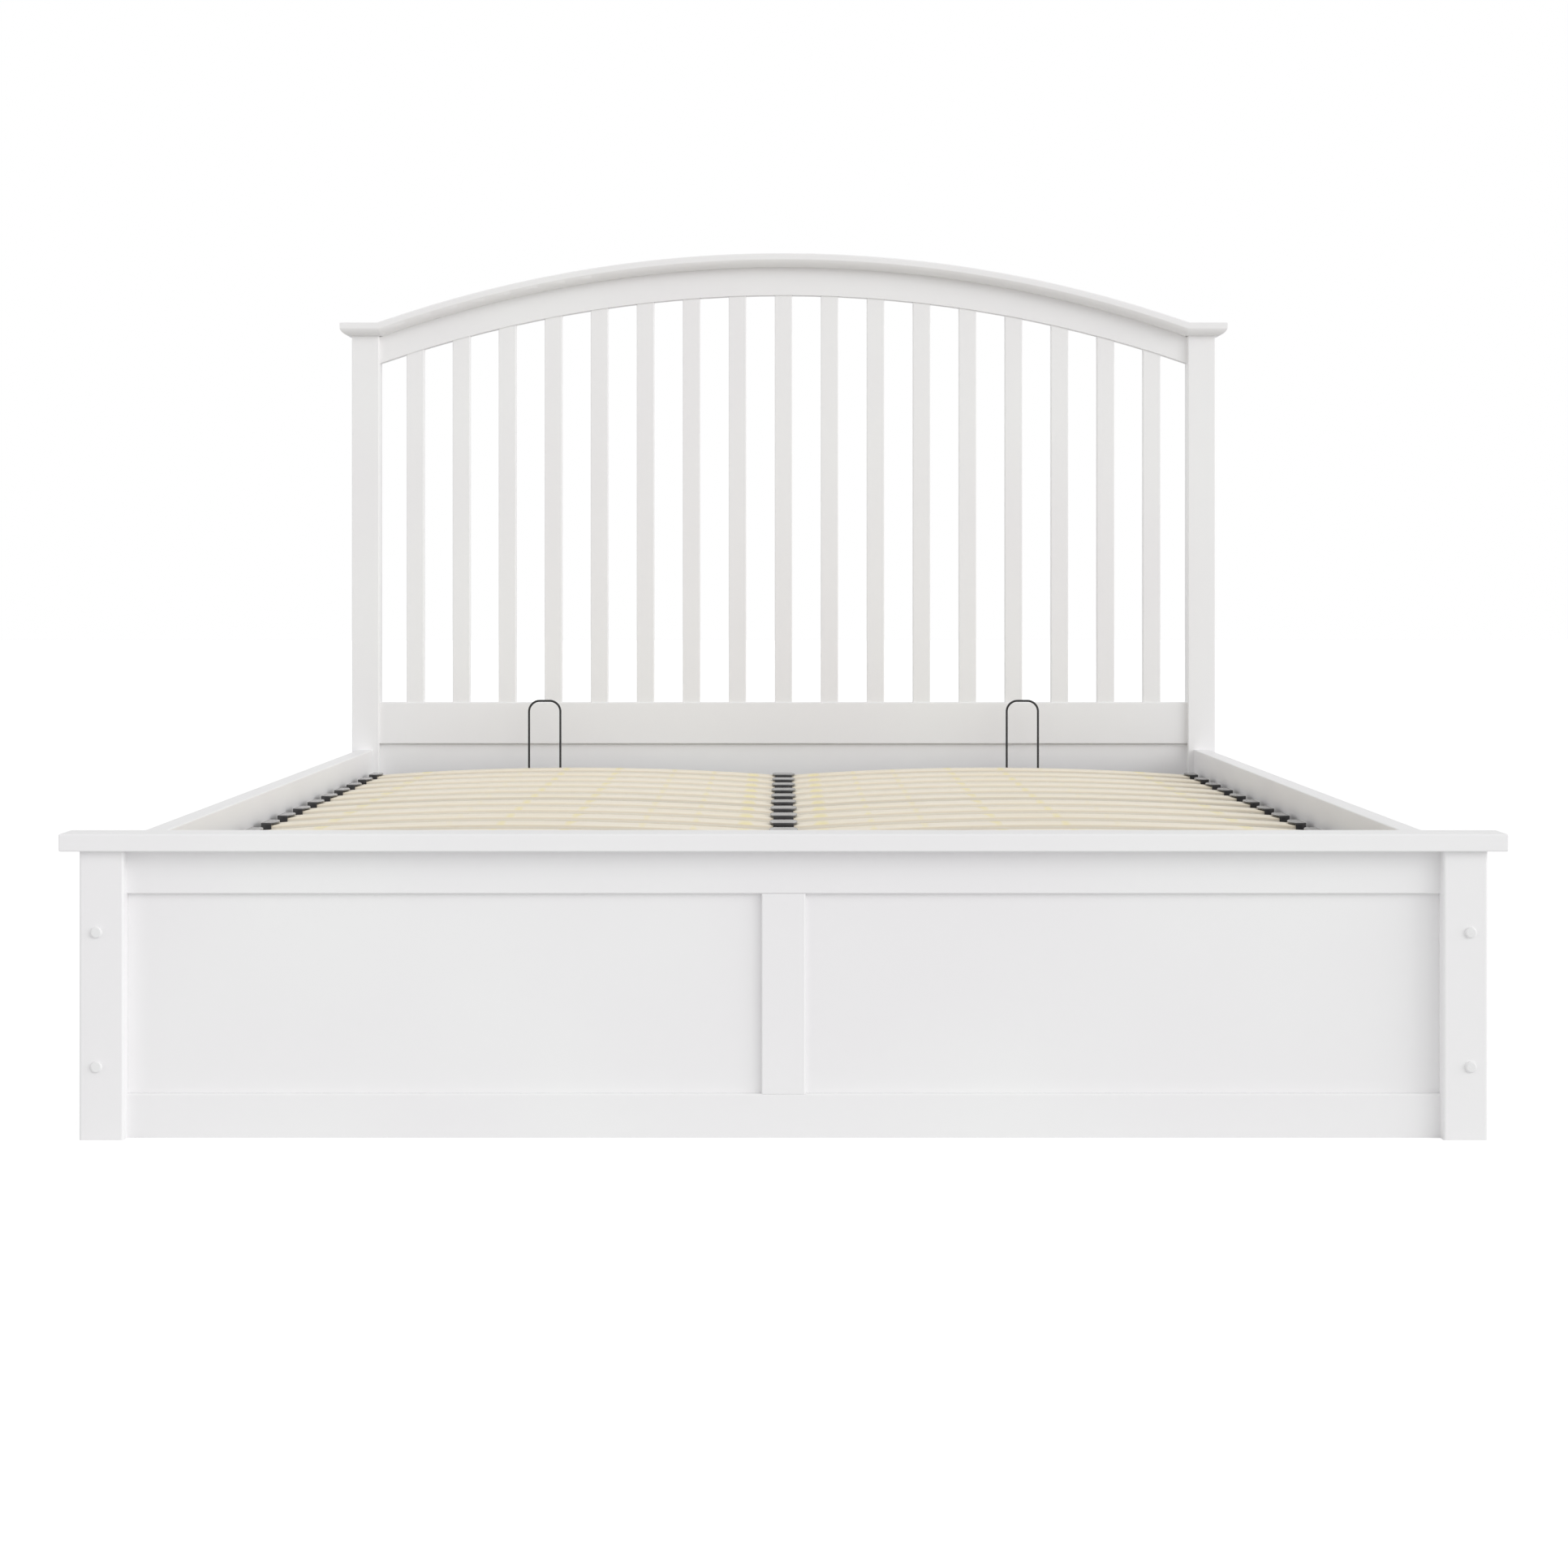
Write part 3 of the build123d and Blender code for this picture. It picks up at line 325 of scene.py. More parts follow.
PAINT_ALONG = {
    "X": painted_timber("white_paint_across", (0.01, 1, 1)),
    "Y": painted_timber("white_paint_along", (1, 0.01, 1)),
    "Z": painted_timber("white_paint_upright", (1, 1, 0.01)),
}
UPRIGHT_TIMBER = ("post", "leg", "spindles", "stile")
LENGTHWISE_TIMBER = ("side_rail",)
FINISHES = {
    "slat_wood": slat_veneer(),
    "bare_pine": sawn_pine(),
    "floor_board": hardboard(),
    "white_plastic": moulded_plastic("white_plastic", PLASTIC_WHITE, 0.4),
    "black_plastic": moulded_plastic("black_plastic", PLASTIC_BLACK, 0.12),
    "black_rubber": moulded_plastic("black_rubber", RUBBER, 0.7),
    "coated_steel": powder_coat(),
    "zinc_steel": zinc_plate(),
    "strut_tube": strut_paint(),
    "strut_chrome": chrome_rod(),
    "black_webbing": webbing(),
}


def finish_for(name, slot):
    """The finish of a node, with the paint's grain along the timber."""
    if slot != "white_paint":
        return FINISHES[slot]
    if any(word in name for word in UPRIGHT_TIMBER) and "cap" not in name:
        return PAINT_ALONG["Z"]
    if any(word in name for word in LENGTHWISE_TIMBER):
        return PAINT_ALONG["Y"]
    return PAINT_ALONG["X"]


for part in frame["record"]["subparts"]:
    for slot in frame["nodes"][part["node"]].material_slots:
        slot.material = finish_for(part["node"], part["material_slot"])


# Bent slats, each spun about the middle of its arc
SLAT_COUNT = 14
SLAT_WIDTH = 0.053
SLAT_THICK = 0.008
SLAT_BOW = 0.0127
SLAT_EDGE_ROUND = 0.002
SLAT_EDGE_STEPS = 4
SLAT_STEPS = 40
SLAT_PLY = 0.0011
SLAT_END_ROUND = 0.0005

# How far a face has to look along an axis to count as facing that way
FACES_ROUGHLY = 0.5
FACES_FULLY = 0.9

# Sides of a small round piece
ROUND_SIDES = 32


def select_none():
    """Nothing selected, so that the next operator acts on its own piece alone."""
    if bpy.context.mode != "OBJECT":
        bpy.ops.object.mode_set(mode="OBJECT")
    bpy.ops.object.select_all(action="DESELECT")


def pick_faces(piece, chosen):
    """Select the faces for which the test holds, in edit mode."""
    bpy.ops.object.mode_set(mode="OBJECT")
    for group in (piece.data.vertices, piece.data.edges, piece.data.polygons):
        group.foreach_set("select", [False] * len(group))
    for face in piece.data.polygons:
        face.select = chosen(face)
    bpy.context.tool_settings.mesh_select_mode = (False, False, True)
    bpy.ops.object.mode_set(mode="EDIT")


def finish_edges(piece, width, segments=2, limit=30, smooth=35):
    """Bevel a piece's corners, apply it and smooth what is left."""
    bevel = piece.modifiers.new("edges", "BEVEL")
    bevel.width = width
    bevel.segments = segments
    bevel.limit_method = "ANGLE"
    bevel.angle_limit = math.radians(limit)
    bpy.ops.object.modifier_apply(modifier=bevel.name)
    bpy.ops.object.shade_smooth_by_angle(angle=math.radians(smooth))


def copies_of(piece, name, places, mirrored=False):
    """Copies of a piece moved to several places, joined, and mirrored to the left if asked."""
    copies = []
    for place in places:
        mesh = piece.data.copy()
        for vertex in mesh.vertices:
            vertex.co += Vector(place)
            if mirrored:
                vertex.co.x *= -1
        if mirrored:
            mesh.flip_normals()
        copy = bpy.data.objects.new(name, mesh)
        bpy.context.scene.collection.objects.link(copy)
        copies.append(copy)
    return joined(copies, name)


def joined(pieces, name):
    """Several pieces as one, under one name."""
    select_none()
    for piece in pieces:
        piece.select_set(True)
    bpy.context.view_layer.objects.active = pieces[0]
    if len(pieces) > 1:
        bpy.ops.object.join()
    pieces[0].name = name
    select_none()
    return pieces[0]


def turned(stations, sides=ROUND_SIDES):
    """A round piece about Z, drawn out through pairs of a distance and a radius."""
    select_none()
    first, radius = stations[0]
    bpy.ops.mesh.primitive_circle_add(vertices=sides, radius=radius, fill_type="NGON")
    piece = bpy.context.object
    bpy.ops.object.mode_set(mode="EDIT")
    bpy.ops.mesh.select_all(action="SELECT")
    bpy.ops.transform.translate(value=(0, 0, first))
    before = first
    for distance, wanted in stations[1:]:
        move = {"value": (0, 0, distance - before)}
        bpy.ops.mesh.extrude_region_move(TRANSFORM_OT_translate=move)
        share = wanted / radius
        bpy.ops.transform.resize(value=(share, share, 1), center_override=(0, 0, distance))
        before, radius = distance, wanted
    bpy.ops.mesh.select_all(action="SELECT")
    bpy.ops.mesh.normals_make_consistent(inside=False)
    bpy.ops.object.mode_set(mode="OBJECT")
    return piece


def stand(piece, place, turn):
    """Turn a piece that was made about Z, and set it down with its place in its mesh."""
    select_none()
    piece.rotation_euler = turn
    piece.location = place
    piece.select_set(True)
    bpy.context.view_layer.objects.active = piece
    bpy.ops.object.transform_apply(location=True, rotation=True, scale=False)


def cut_cross(piece, top, span, width, depth):
    """A screwdriver's cross cut down into a head, one bar after the other."""
    for size in ((span, width), (width, span)):
        select_none()
        bpy.ops.mesh.primitive_cube_add(size=1)
        blade = bpy.context.object
        for vertex in blade.data.vertices:
            x, y, z = vertex.co
            taper = 1 if z > 0 else RECESS_TAPER
            vertex.co = (x * size[0] * taper, y * size[1] * taper, top + z * 2 * depth)
        cut = piece.modifiers.new("recess", "BOOLEAN")
        cut.operation = "DIFFERENCE"
        cut.object = blade
        select_none()
        piece.select_set(True)
        bpy.context.view_layer.objects.active = piece
        bpy.ops.object.modifier_apply(modifier=cut.name)
        bpy.data.objects.remove(blade)


def settle(piece, slot, body, *nodes):
    """Hide the nodes that a new piece stands for, and hang it on the body it rides on; the slot
    argument, the finish it would take, is not used.
    """
    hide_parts(*nodes)
    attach(piece, body)
    piece.select_set(False)


def make_slat():
    """One bent slat of the right-hand column, at Y 0."""
    low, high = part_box("right_slats")
    middle_x = (low.x + high.x) / 2
    half = (high.x - low.x) / 2
    top = low.z + SLAT_THICK + SLAT_BOW
    arc = (half**2 + SLAT_BOW**2) / (2 * SLAT_BOW)
    centre = (middle_x, 0, top - arc)
    turn = math.asin(half / arc)
    bpy.ops.mesh.primitive_plane_add(size=1, location=(0, 0, 0))
    slat = bpy.context.object
    for vertex in slat.data.vertices:
        side, up = vertex.co.x, vertex.co.y
        vertex.co = (middle_x, side * SLAT_WIDTH, top - SLAT_THICK / 2 + up * SLAT_THICK)
    bpy.ops.object.mode_set(mode="EDIT")
    bpy.ops.mesh.select_all(action="SELECT")
    rounding = {"offset": SLAT_EDGE_ROUND, "segments": SLAT_EDGE_STEPS}
    bpy.ops.mesh.bevel(affect="VERTICES", offset_type="OFFSET", **rounding)
    bpy.ops.mesh.select_all(action="SELECT")
    bpy.ops.transform.rotate(value=turn, orient_axis="Y", center_override=centre)
    bpy.ops.mesh.spin(steps=SLAT_STEPS, angle=2 * turn, center=centre, axis=(0, -1, 0))
    bpy.ops.mesh.select_all(action="DESELECT")
    bpy.ops.mesh.select_mode(type="EDGE")
    bpy.ops.mesh.select_non_manifold()
    bpy.ops.mesh.edge_face_add()
    bpy.ops.mesh.select_all(action="SELECT")
    bpy.ops.mesh.normals_make_consistent(inside=False)
    bpy.ops.object.mode_set(mode="OBJECT")
    slat.data.materials.append(FINISHES["slat_wood"])
    slat.data.materials.append(slat_plies(middle_x, centre[2], arc, SLAT_PLY))
    for face in slat.data.polygons:
        face.material_index = int(abs(face.normal.z) < FACES_ROUGHLY)
    finish_edges(slat, SLAT_END_ROUND, limit=60)
    flat = slat.data.uv_layers.new(name=SLAT_MAP)
    for corner in slat.data.loops:
        flat.data[corner.index].uv = slat.data.vertices[corner.vertex_index].co.xy
    return slat


# Plastic holders of the slats
HOLDER_HALF = 0.029
HOLDER_WALL = 0.00225
HOLDER_POCKET = 0.010
HOLDER_POCKET_LIFT = 0.00145
HOLDER_BODY = 0.0133
HOLDER_LIP = 0.002
HOLDER_STRIPS = 16
HOLDER_ROUND = 0.0004
END_LIP_REACH = 0.0057
CENTRE_LIP_REACH = 0.0049
HOLDER_MERGE = 0.00002
PEG_SIDES = 16
PEG_RADIUS = 0.004
PEG_LENGTH = 0.012
PEG_FROM_OUTSIDE = 0.008


def lip_curve(y, reach):
    """How far a holder's lip reaches over the wood at a distance from its middle."""
    arc = (HOLDER_HALF**2 + reach**2) / (2 * reach)
    return math.sqrt(arc**2 - y**2) - (arc - reach)


def make_holder(x_low, x_high, mouths, peg_x):
    """A holder at Y 0: a block with a pocket and a curved lip on each side that takes a slat."""
    low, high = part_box("centre_caps")
    base = low.z + PEG_LENGTH
    lip_base = high.z - HOLDER_LIP
    bpy.ops.mesh.primitive_cube_add(size=1)
    holder = bpy.context.object
    for vertex in holder.data.vertices:
        x = x_high if vertex.co.x > 0 else x_low
        z = high.z if vertex.co.z > 0 else base
        vertex.co = (x, math.copysign(HOLDER_HALF, vertex.co.y), z)
    bpy.ops.object.mode_set(mode="EDIT")
    for i in range(1, HOLDER_STRIPS):
        bpy.ops.mesh.select_all(action="SELECT")
        y = HOLDER_HALF * (2 * i / HOLDER_STRIPS - 1)
        bpy.ops.mesh.bisect(plane_co=(0, y, 0), plane_no=(0, 1, 0))
    bpy.ops.mesh.select_all(action="SELECT")
    bpy.ops.mesh.bisect(plane_co=(0, 0, lip_base), plane_no=(0, 0, 1))
    for face_x, way, reach in mouths:
        pick_faces(holder, lambda f: f.normal.x * way > FACES_FULLY and f.center.z < lip_base)
        bpy.ops.mesh.inset(thickness=HOLDER_WALL)
        bpy.ops.transform.translate(value=(0, 0, HOLDER_POCKET_LIFT))
        move = {"value": (-way * HOLDER_POCKET, 0, 0)}
        bpy.ops.mesh.extrude_region_move(TRANSFORM_OT_translate=move)
        pick_faces(holder, lambda f: f.normal.x * way > FACES_FULLY and f.center.z > lip_base)
        bpy.ops.mesh.extrude_region_move(TRANSFORM_OT_translate={"value": (way * reach, 0, 0)})
        bpy.ops.object.mode_set(mode="OBJECT")
        for vertex in holder.data.vertices:
            if (vertex.co.x - face_x) * way > reach / 2:
                vertex.co.x = face_x + way * lip_curve(vertex.co.y, reach)
        bpy.ops.object.mode_set(mode="EDIT")
    bpy.ops.mesh.select_all(action="SELECT")
    bpy.ops.mesh.remove_doubles(threshold=HOLDER_MERGE)
    bpy.ops.mesh.select_all(action="SELECT")
    bpy.ops.mesh.normals_make_consistent(inside=False)
    bpy.ops.object.mode_set(mode="OBJECT")
    bpy.ops.mesh.primitive_cylinder_add(
        vertices=PEG_SIDES,
        radius=PEG_RADIUS,
        depth=PEG_LENGTH,
        end_fill_type="NGON",
        location=(peg_x, 0, base - PEG_LENGTH / 2),
    )
    bpy.ops.object.transform_apply(location=True)
    holder.select_set(True)
    bpy.context.view_layer.objects.active = holder
    bpy.ops.object.join()
    finish_edges(holder, HOLDER_ROUND)
    holder.data.materials.append(FINISHES["black_plastic"])
    return holder


def make_slat_columns():
    """Both columns of slats, with their end and centre holders."""
    low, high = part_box("right_slats")
    first = low.y + SLAT_WIDTH / 2
    pitch = (high.y - low.y - SLAT_WIDTH) / (SLAT_COUNT - 1)
    ys = [first + i * pitch for i in range(SLAT_COUNT)]
    slat = make_slat()
    select_none()
    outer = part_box("right_end_caps")[1].x
    mouth = outer - HOLDER_BODY
    end = make_holder(mouth, outer, [(mouth, -1, END_LIP_REACH)], outer - PEG_FROM_OUTSIDE)
    select_none()
    both = [(side * HOLDER_BODY, side, CENTRE_LIP_REACH) for side in (1, -1)]
    centre = make_holder(-HOLDER_BODY, HOLDER_BODY, both, 0)
    rows = (
        (slat, "right_bent_slats", False, "slat_wood", "right_slats"),
        (slat, "left_bent_slats", True, "slat_wood", "left_slats"),
        (end, "right_slat_holders", False, "black_plastic", "right_end_caps"),
        (end, "left_slat_holders", True, "black_plastic", "left_end_caps"),
        (centre, "middle_slat_holders", False, "black_plastic", "centre_caps"),
    )
    for piece, name, mirrored, slot, node_name in rows:
        row = copies_of(piece, name, [(0, y, 0) for y in ys], mirrored)
        settle(row, slot, "slat_platform", node_name)
    for piece in (slat, end, centre):
        bpy.data.objects.remove(piece)


# Webbing pull strap, in place of its plain solid
STRAP_THICK = 0.0025
STRAP_STEPS = 48
STRAP_STEPS_ACROSS = 4
STRAP_PAD = 0.022
STRAP_SLOPE = 0.030
STRAP_EDGE_ROUND = 0.0006
STITCH_SIDES = 8
STITCH_SMOOTH = 60
STITCH_RADIUS = 0.0004
STITCH_LENGTH = 0.0026
STITCH_PITCH = 0.0036
STITCH_COUNT = 6
STITCH_ROW_FROM_EDGE = 0.0022


def make_strap():
    """A ribbon laid over the plain strap's crown and screwed feet."""
    low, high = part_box("lift_strap")
    middle_y = (low.y + high.y) / 2
    crown = high.z - low.z - STRAP_THICK
    flat_end = high.x - STRAP_PAD
    select_none()
    steps = {"x_subdivisions": STRAP_STEPS, "y_subdivisions": STRAP_STEPS_ACROSS}
    bpy.ops.mesh.primitive_grid_add(size=1, **steps)
    strap = bpy.context.object
    strap.name = "webbing_strap"
    for vertex in strap.data.vertices:
        x = vertex.co.x * 2 * high.x
        rise = min(max((flat_end - abs(x)) / STRAP_SLOPE, 0), 1)
        eased = rise * rise * (3 - 2 * rise)
        vertex.co = (x, middle_y + vertex.co.y * (high.y - low.y), low.z + crown * eased)
    thicken = strap.modifiers.new("thickness", "SOLIDIFY")
    thicken.thickness = STRAP_THICK
    thicken.offset = 1
    bpy.ops.object.modifier_apply(modifier=thicken.name)
    finish_edges(strap, STRAP_EDGE_ROUND, limit=50)
    strap.data.materials.append(FINISHES["black_webbing"])
    settle(strap, "black_webbing", "slat_platform", "lift_strap")
    make_stitching(high.x, middle_y, high.y - low.y, low.z + STRAP_THICK)


def make_stitching(strap_end, middle_y, width, top):
    """Rows of thread along both edges of the strap's feet, and across their ends."""
    stations = [
        (-STITCH_LENGTH / 2, STITCH_RADIUS / 2),
        (-STITCH_LENGTH / 3, STITCH_RADIUS),
        (STITCH_LENGTH / 3, STITCH_RADIUS),
        (STITCH_LENGTH / 2, STITCH_RADIUS / 2),
    ]
    stitch = turned(stations, STITCH_SIDES)
    bpy.ops.object.shade_smooth_by_angle(angle=math.radians(STITCH_SMOOTH))
    stitch.data.materials.append(FINISHES["black_webbing"])
    across = stitch.copy()
    across.data = stitch.data.copy()
    bpy.context.scene.collection.objects.link(across)
    stand(stitch, (0, 0, 0), (0, math.pi / 2, 0))
    stand(across, (0, 0, 0), (math.pi / 2, 0, 0))
    edge_row = width / 2 - STITCH_ROW_FROM_EDGE
    outer = strap_end - STITCH_ROW_FROM_EDGE
    inner = strap_end - STRAP_PAD + STITCH_ROW_FROM_EDGE
    along, ends = [], []
    for side in (1, -1):
        for i in range(STITCH_COUNT):
            x = side * (outer - (i + 0.5) * (outer - inner) / STITCH_COUNT)
            along += [(x, middle_y + edge * edge_row, top) for edge in (1, -1)]
        for i in range(STITCH_COUNT - 1):
            y = middle_y + (i - (STITCH_COUNT - 2) / 2) * STITCH_PITCH
            ends += [(side * outer, y, top), (side * inner, y, top)]
    rows = [copies_of(stitch, "along", along), copies_of(across, "across", ends)]
    thread = joined(rows, "strap_stitching")
    for piece in (stitch, across):
        bpy.data.objects.remove(piece)
    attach(thread, "slat_platform")


# Screws, each with a cross recess in its head
RECESS_TAPER = 0.55
SCREW_SMOOTH = 40
PAN_HEAD = 0.006
PAN_HEIGHT = 0.0025
PAN_SHANK = 0.003
PAN_LENGTH = 0.0145
PAN_RECESS_WIDTH = 0.00132
PAN_RECESS_DEPTH = 0.00175

# The pan head's outline, as shares of its height and of its radius
PAN_OUTLINE = ((0, 0.97), (0.15, 1), (0.45, 1), (0.75, 0.93), (0.93, 0.8), (1, 0.62))

# The countersunk screws, whose recess is given as span, width and depth
FLAT_HEAD = 0.0045
FLAT_RIM = 0.00018
FLAT_FACE = 0.00432
FLAT_RECESS = (0.00495, 0.00108, 0.001575)
FLAT_SHANK = 0.00225
FLAT_POINT = 0.0004

# Where the screws sit on the hinge plates and on the strut brackets
HINGE_SCREW_LENGTH = 0.021
HINGE_SCREW_Y = 0.042
HINGE_SCREW_Z = 0.015
BRACKET_SCREW_LENGTH = 0.019
BRACKET_SCREW_Y = 0.030
BRACKET_SCREW_RISES = (0.009, 0.025)


def make_strap_screws():
    """Pan head screws that hold the strap's feet to the tube."""
    low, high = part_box("strap_screws")
    head = high.z - PAN_HEIGHT
    shank = [
        (head - PAN_LENGTH, PAN_SHANK / 3),
        (head - PAN_LENGTH + PAN_SHANK, PAN_SHANK),
        (head, PAN_SHANK),
    ]
    dome = [(head + PAN_HEIGHT * rise, PAN_HEAD * share) for rise, share in PAN_OUTLINE]
    screw = turned(shank + dome)
    cut_cross(screw, high.z, PAN_HEAD, PAN_RECESS_WIDTH, PAN_RECESS_DEPTH)
    bpy.ops.object.shade_smooth_by_angle(angle=math.radians(SCREW_SMOOTH))
    screw.data.materials.append(FINISHES["zinc_steel"])
    middle_y = (low.y + high.y) / 2
    places = [(side * (high.x - PAN_HEAD), middle_y, 0) for side in (1, -1)]
    both = copies_of(screw, "strap_pan_screws", places)
    bpy.data.objects.remove(screw)
    settle(both, "zinc_steel", "slat_platform", "strap_screws")


def flat_screw(length):
    """A countersunk screw that goes in along X, with its head's face at X 0."""
    stations = [
        (0, FLAT_FACE),
        (FLAT_RIM, FLAT_HEAD),
        (FLAT_HEAD - FLAT_SHANK, FLAT_SHANK),
        (length - 2 * FLAT_SHANK, FLAT_SHANK),
        (length, FLAT_POINT),
    ]
    screw = turned(stations)
    cut_cross(screw, 0, *FLAT_RECESS)
    bpy.ops.object.shade_smooth_by_angle(angle=math.radians(SCREW_SMOOTH))
    screw.data.materials.append(FINISHES["zinc_steel"])
    stand(screw, (0, 0, 0), (0, math.pi / 2, 0))
    return screw


def make_plate_screws():
    """The screws of the hinge plates and strut brackets, on both side rails."""
    low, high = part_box("right_hinge_plate")
    pivot_y, pivot_z = (low.y + high.y) / 2, (low.z + high.z) / 2
    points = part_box("hardware_screws")[1].x
    hinge_places = [
        (points - HINGE_SCREW_LENGTH, pivot_y + y, pivot_z + z)
        for y in (-HINGE_SCREW_Y, HINGE_SCREW_Y)
        for z in (-HINGE_SCREW_Z, HINGE_SCREW_Z)
    ]
    low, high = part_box("right_strut_bracket")
    middle_y = (low.y + high.y) / 2
    bracket_places = [
        (points - BRACKET_SCREW_LENGTH, middle_y + y, low.z + rise)
        for y in (-BRACKET_SCREW_Y, BRACKET_SCREW_Y)
        for rise in BRACKET_SCREW_RISES
    ]
    rows = ((HINGE_SCREW_LENGTH, hinge_places), (BRACKET_SCREW_LENGTH, bracket_places))
    made = []
    for length, places in rows:
        screw = flat_screw(length)
        made += [copies_of(screw, "screws", places, mirrored) for mirrored in (False, True)]
        bpy.data.objects.remove(screw)
    settle(joined(made, "plate_screws"), "zinc_steel", "bed_frame", "hardware_screws")


# Gas struts, turned about the line from their lower pin to their upper pin
STRUT_SIDES = 40
STRUT_SMOOTH = 38
STRUT_EYE = 0.009
STRUT_EYE_WIDTH = 0.012
STRUT_PIN_HOLE = 0.00405
STRUT_EYE_ROUND = 0.0006
STRUT_NECK = 0.0055
STRUT_NECK_WAIST = 0.00495
STRUT_COLLAR = 0.003
STRUT_TUBE = 0.009
STRUT_TUBE_BORE = 0.008
STRUT_TUBE_START = 0.018
STRUT_TUBE_END = 0.168

# Rounded ends of the tube: the size of the corner, and its middle station
STRUT_START_CORNER = (0.0012, 0.0004)
STRUT_END_CORNER = (0.0016, 0.0005)

STRUT_BORE_START = 0.0277
STRUT_BORE_END = 0.162
STRUT_ROD = 0.004
STRUT_ROD_HOLE = 0.00405
STRUT_SEAL = 0.0046
STRUT_SEAL_DEPTH = 0.0015
STRUT_ROLL = 0.0006
STRUT_ROLL_HALF = 0.001
STRUT_ROLL_SLOPE = 0.001
STRUT_ROLL_FROM_END = 0.014
STRUT_PISTON = 0.00795
STRUT_PISTON_START = 0.028
STRUT_PISTON_LENGTH = 0.008
STRUT_PISTON_CORNER = 0.0006
STRUT_RING = (0.0028, 0.0052)
STRUT_RING_DEPTH = 0.001
STRUT_FITTING = 0.016
STRUT_FITTING_CORNER = 0.0005
STRUT_GROOVE = (0.007, 0.0085)


def strut_eye(place):
    """An eye with its pin hole along X, at a distance up the strut."""
    select_none()
    size = {"radius": STRUT_EYE, "depth": STRUT_EYE_WIDTH}
    bpy.ops.mesh.primitive_cylinder_add(vertices=ROUND_SIDES, **size)
    eye = bpy.context.object
    pick_faces(eye, lambda f: abs(f.normal.z) > FACES_ROUGHLY)
    bpy.ops.mesh.inset(thickness=STRUT_EYE - STRUT_PIN_HOLE)
    bpy.ops.mesh.delete(type="FACE")
    bpy.ops.mesh.select_mode(type="EDGE")
    bpy.ops.mesh.select_non_manifold()
    bpy.ops.mesh.bridge_edge_loops()
    bpy.ops.mesh.select_all(action="SELECT")
    bpy.ops.mesh.normals_make_consistent(inside=False)
    bpy.ops.object.mode_set(mode="OBJECT")
    finish_edges(eye, STRUT_EYE_ROUND, limit=50)
    stand(eye, (0, 0, place), (0, math.pi / 2, 0))
    return eye


def strut_tube_stations():
    """The tube with its collar, rolled groove, seal and bore, from the lower eye up."""
    start, end = STRUT_TUBE_START, STRUT_TUBE_END
    near, near_middle = STRUT_START_CORNER
    far, far_middle = STRUT_END_CORNER
    roll = end - STRUT_ROLL_FROM_END
    slope = STRUT_ROLL_HALF + STRUT_ROLL_SLOPE
    return [
        (STRUT_EYE / 2, STRUT_NECK_WAIST),
        (start - STRUT_COLLAR, STRUT_NECK_WAIST),
        (start - STRUT_COLLAR, STRUT_NECK),
        (start, STRUT_NECK),
        (start, STRUT_TUBE - near),
        (start + near_middle, STRUT_TUBE - near_middle),
        (start + near, STRUT_TUBE),
        (roll - slope, STRUT_TUBE),
        (roll - STRUT_ROLL_HALF, STRUT_TUBE - STRUT_ROLL),
        (roll + STRUT_ROLL_HALF, STRUT_TUBE - STRUT_ROLL),
        (roll + slope, STRUT_TUBE),
        (end - far, STRUT_TUBE),
        (end - far_middle, STRUT_TUBE - far_middle),
        (end, STRUT_TUBE - far),
        (end, STRUT_SEAL),
        (end - STRUT_SEAL_DEPTH, STRUT_SEAL),
        (end - STRUT_SEAL_DEPTH, STRUT_ROD_HOLE),
        (STRUT_BORE_END, STRUT_ROD_HOLE),
        (STRUT_BORE_END, STRUT_TUBE_BORE),
        (STRUT_BORE_START, STRUT_TUBE_BORE),
    ]


def strut_rod_stations(end):
    """The rod with its piston and its end fitting, from the piston up."""
    start = STRUT_PISTON_START
    piston_end = start + STRUT_PISTON_LENGTH
    ring_low, ring_high = STRUT_RING
    fitting = end - STRUT_FITTING
    groove_low, groove_high = STRUT_GROOVE
    return [
        (start, STRUT_PISTON - STRUT_PISTON_CORNER),
        (start + STRUT_PISTON_CORNER, STRUT_PISTON),
        (start + ring_low, STRUT_PISTON),
        (start + ring_low, STRUT_PISTON - STRUT_RING_DEPTH),
        (start + ring_high, STRUT_PISTON - STRUT_RING_DEPTH),
        (start + ring_high, STRUT_PISTON),
        (piston_end - STRUT_PISTON_CORNER, STRUT_PISTON),
        (piston_end, STRUT_PISTON - STRUT_PISTON_CORNER),
        (piston_end, STRUT_ROD),
        (fitting, STRUT_ROD),
        (fitting, STRUT_NECK - STRUT_FITTING_CORNER),
        (fitting + STRUT_FITTING_CORNER, STRUT_NECK),
        (fitting + groove_low, STRUT_NECK),
        (fitting + groove_low, STRUT_NECK - STRUT_FITTING_CORNER),
        (fitting + groove_high, STRUT_NECK - STRUT_FITTING_CORNER),
        (fitting + groove_high, STRUT_NECK),
        (end, STRUT_NECK),
    ]


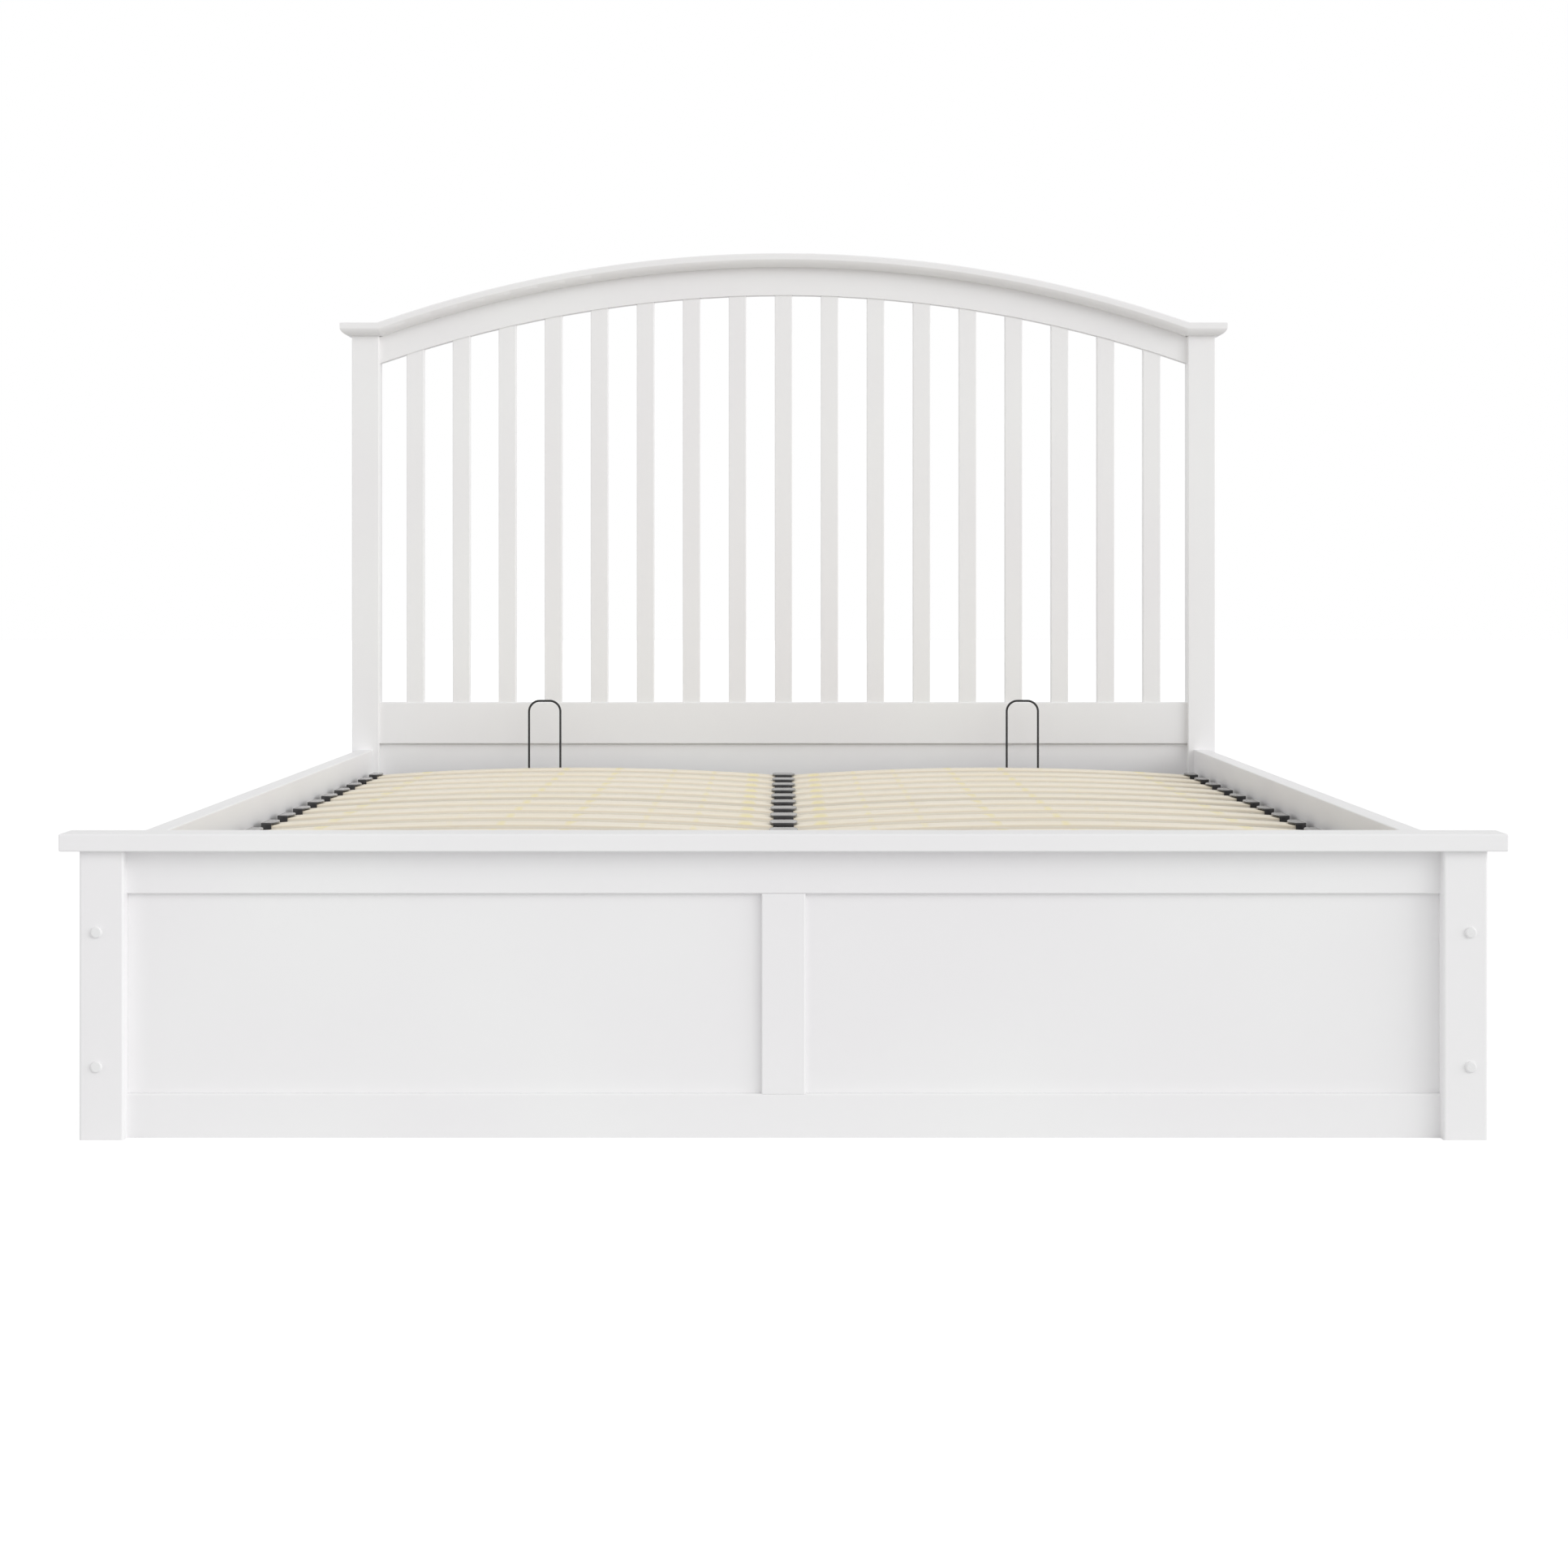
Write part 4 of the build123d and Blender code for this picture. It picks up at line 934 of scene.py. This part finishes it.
def make_struts():
    """Both gas struts: rolled tube, sliding rod, and an eye at each end."""
    low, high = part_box("right_strut_cylinder")
    lower_pin = Vector(((low.x + high.x) / 2, high.y - STRUT_EYE, low.z + STRUT_EYE))
    low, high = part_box("right_strut_rod")
    upper_pin = Vector((lower_pin.x, low.y + STRUT_EYE, high.z - STRUT_EYE))
    line = upper_pin - lower_pin
    lean = (math.atan2(-line.y, line.z), 0, 0)
    tube = turned(strut_tube_stations(), STRUT_SIDES)
    bpy.ops.object.shade_smooth_by_angle(angle=math.radians(STRUT_SMOOTH))
    rod = turned(strut_rod_stations(line.length - STRUT_EYE / 2), STRUT_SIDES)
    bpy.ops.object.shade_smooth_by_angle(angle=math.radians(STRUT_SMOOTH))
    rows = (
        (tube, strut_eye(0), "strut_tube", "strut_cylinder"),
        (rod, strut_eye(line.length), "strut_chrome", "strut_rod"),
    )
    for shaft, eye, slot, node_name in rows:
        strut = joined([shaft, eye], slot)
        strut.data.materials.append(FINISHES[slot])
        stand(strut, lower_pin, lean)
        for side, mirrored in (("right", False), ("left", True)):
            name = f"{side}_{node_name}"
            copy = copies_of(strut, f"{side}_gas_{slot}", [(0, 0, 0)], mirrored)
            settle(copy, slot, name, name)
        bpy.data.objects.remove(strut)


make_strap()
make_strap_screws()
make_plate_screws()
make_struts()
make_slat_columns()


def make_floor():
    """A white floor that keeps a soft shadow."""
    bpy.ops.mesh.primitive_plane_add(size=FLOOR_SIZE, location=(0, 0, 0))
    floor = bpy.context.object
    floor.name = "floor"
    finish, shader, _ = new_finish("floor_white", FLOOR_ROUGHNESS)
    shader.inputs["Base Color"].default_value = linear(FLOOR_COLOUR)
    shader.inputs["Specular IOR Level"].default_value = FLOOR_SHINE
    ray = node(finish, "ShaderNodeLightPath").outputs
    none = node(finish, "ShaderNodeEmission", {"Strength": 0}).outputs[0]
    glow = node(finish, "ShaderNodeEmission", {"Strength": FLOOR_GLOW}).outputs[0]
    inputs = {0: ray["Is Camera Ray"], 1: none, 2: glow}
    seen = node(finish, "ShaderNodeMixShader", inputs).outputs[0]
    total = node(finish, "ShaderNodeAddShader", {0: shader.outputs[0], 1: seen}).outputs[0]
    surface = finish.node_tree.nodes["Material Output"].inputs[0]
    finish.node_tree.links.new(total, surface)
    floor.data.materials.append(finish)
    floor.select_set(False)


def make_sky():
    """Even studio light, with white where the camera, glass or gloss sees it."""
    world = bpy.data.worlds.new("studio")
    bpy.context.scene.world = world
    world.use_nodes = True
    plain = world.node_tree.nodes["Background"]
    plain.inputs["Color"].default_value = WHITE
    plain.inputs["Strength"].default_value = SKY_LIGHT
    white = node(world, "ShaderNodeBackground", {"Color": WHITE}).outputs[0]
    ray = node(world, "ShaderNodeLightPath").outputs
    pair = {0: ray["Is Camera Ray"], 1: ray["Is Glossy Ray"]}
    seen = node(world, "ShaderNodeMath", pair, operation="MAXIMUM").outputs[0]
    pair = {0: seen, 1: ray["Is Transmission Ray"]}
    through = node(world, "ShaderNodeMath", pair, operation="MAXIMUM").outputs[0]
    inputs = {0: through, 1: plain.outputs[0], 2: white}
    sky = node(world, "ShaderNodeMixShader", inputs).outputs[0]
    world.node_tree.links.new(sky, world.node_tree.nodes["World Output"].inputs[0])


def make_lamp(name, right, up, level):
    """A soft far lamp, so many degrees to the right of the camera and above the floor."""
    light = bpy.data.lights.new(name, "SUN")
    light.angle = math.radians(LAMP_SPREAD)
    light.energy = level * math.pi
    turn, tilt = math.radians(right), math.radians(up)
    ahead = -math.cos(turn) * math.cos(tilt)
    towards = Vector((math.sin(turn) * math.cos(tilt), ahead, math.sin(tilt)))
    lamp = bpy.data.objects.new(name, light)
    lamp.location = towards * LAMP_DISTANCE
    lamp.rotation_euler = towards.to_track_quat("Z", "Y").to_euler()
    bpy.context.scene.collection.objects.link(lamp)


def make_camera():
    """The photograph's camera."""
    lens = bpy.data.cameras.new("camera")
    lens.lens = CAMERA_LENS
    lens.sensor_width = CAMERA_SENSOR
    lens.shift_x, lens.shift_y = CAMERA_SHIFT
    camera = bpy.data.objects.new("camera", lens)
    camera.location = CAMERA_PLACE
    camera.rotation_euler = (math.pi / 2, 0, 0)
    bpy.context.scene.collection.objects.link(camera)
    bpy.context.scene.camera = camera


make_floor()
make_sky()
for lamp in LAMPS:
    make_lamp(*lamp)
make_camera()
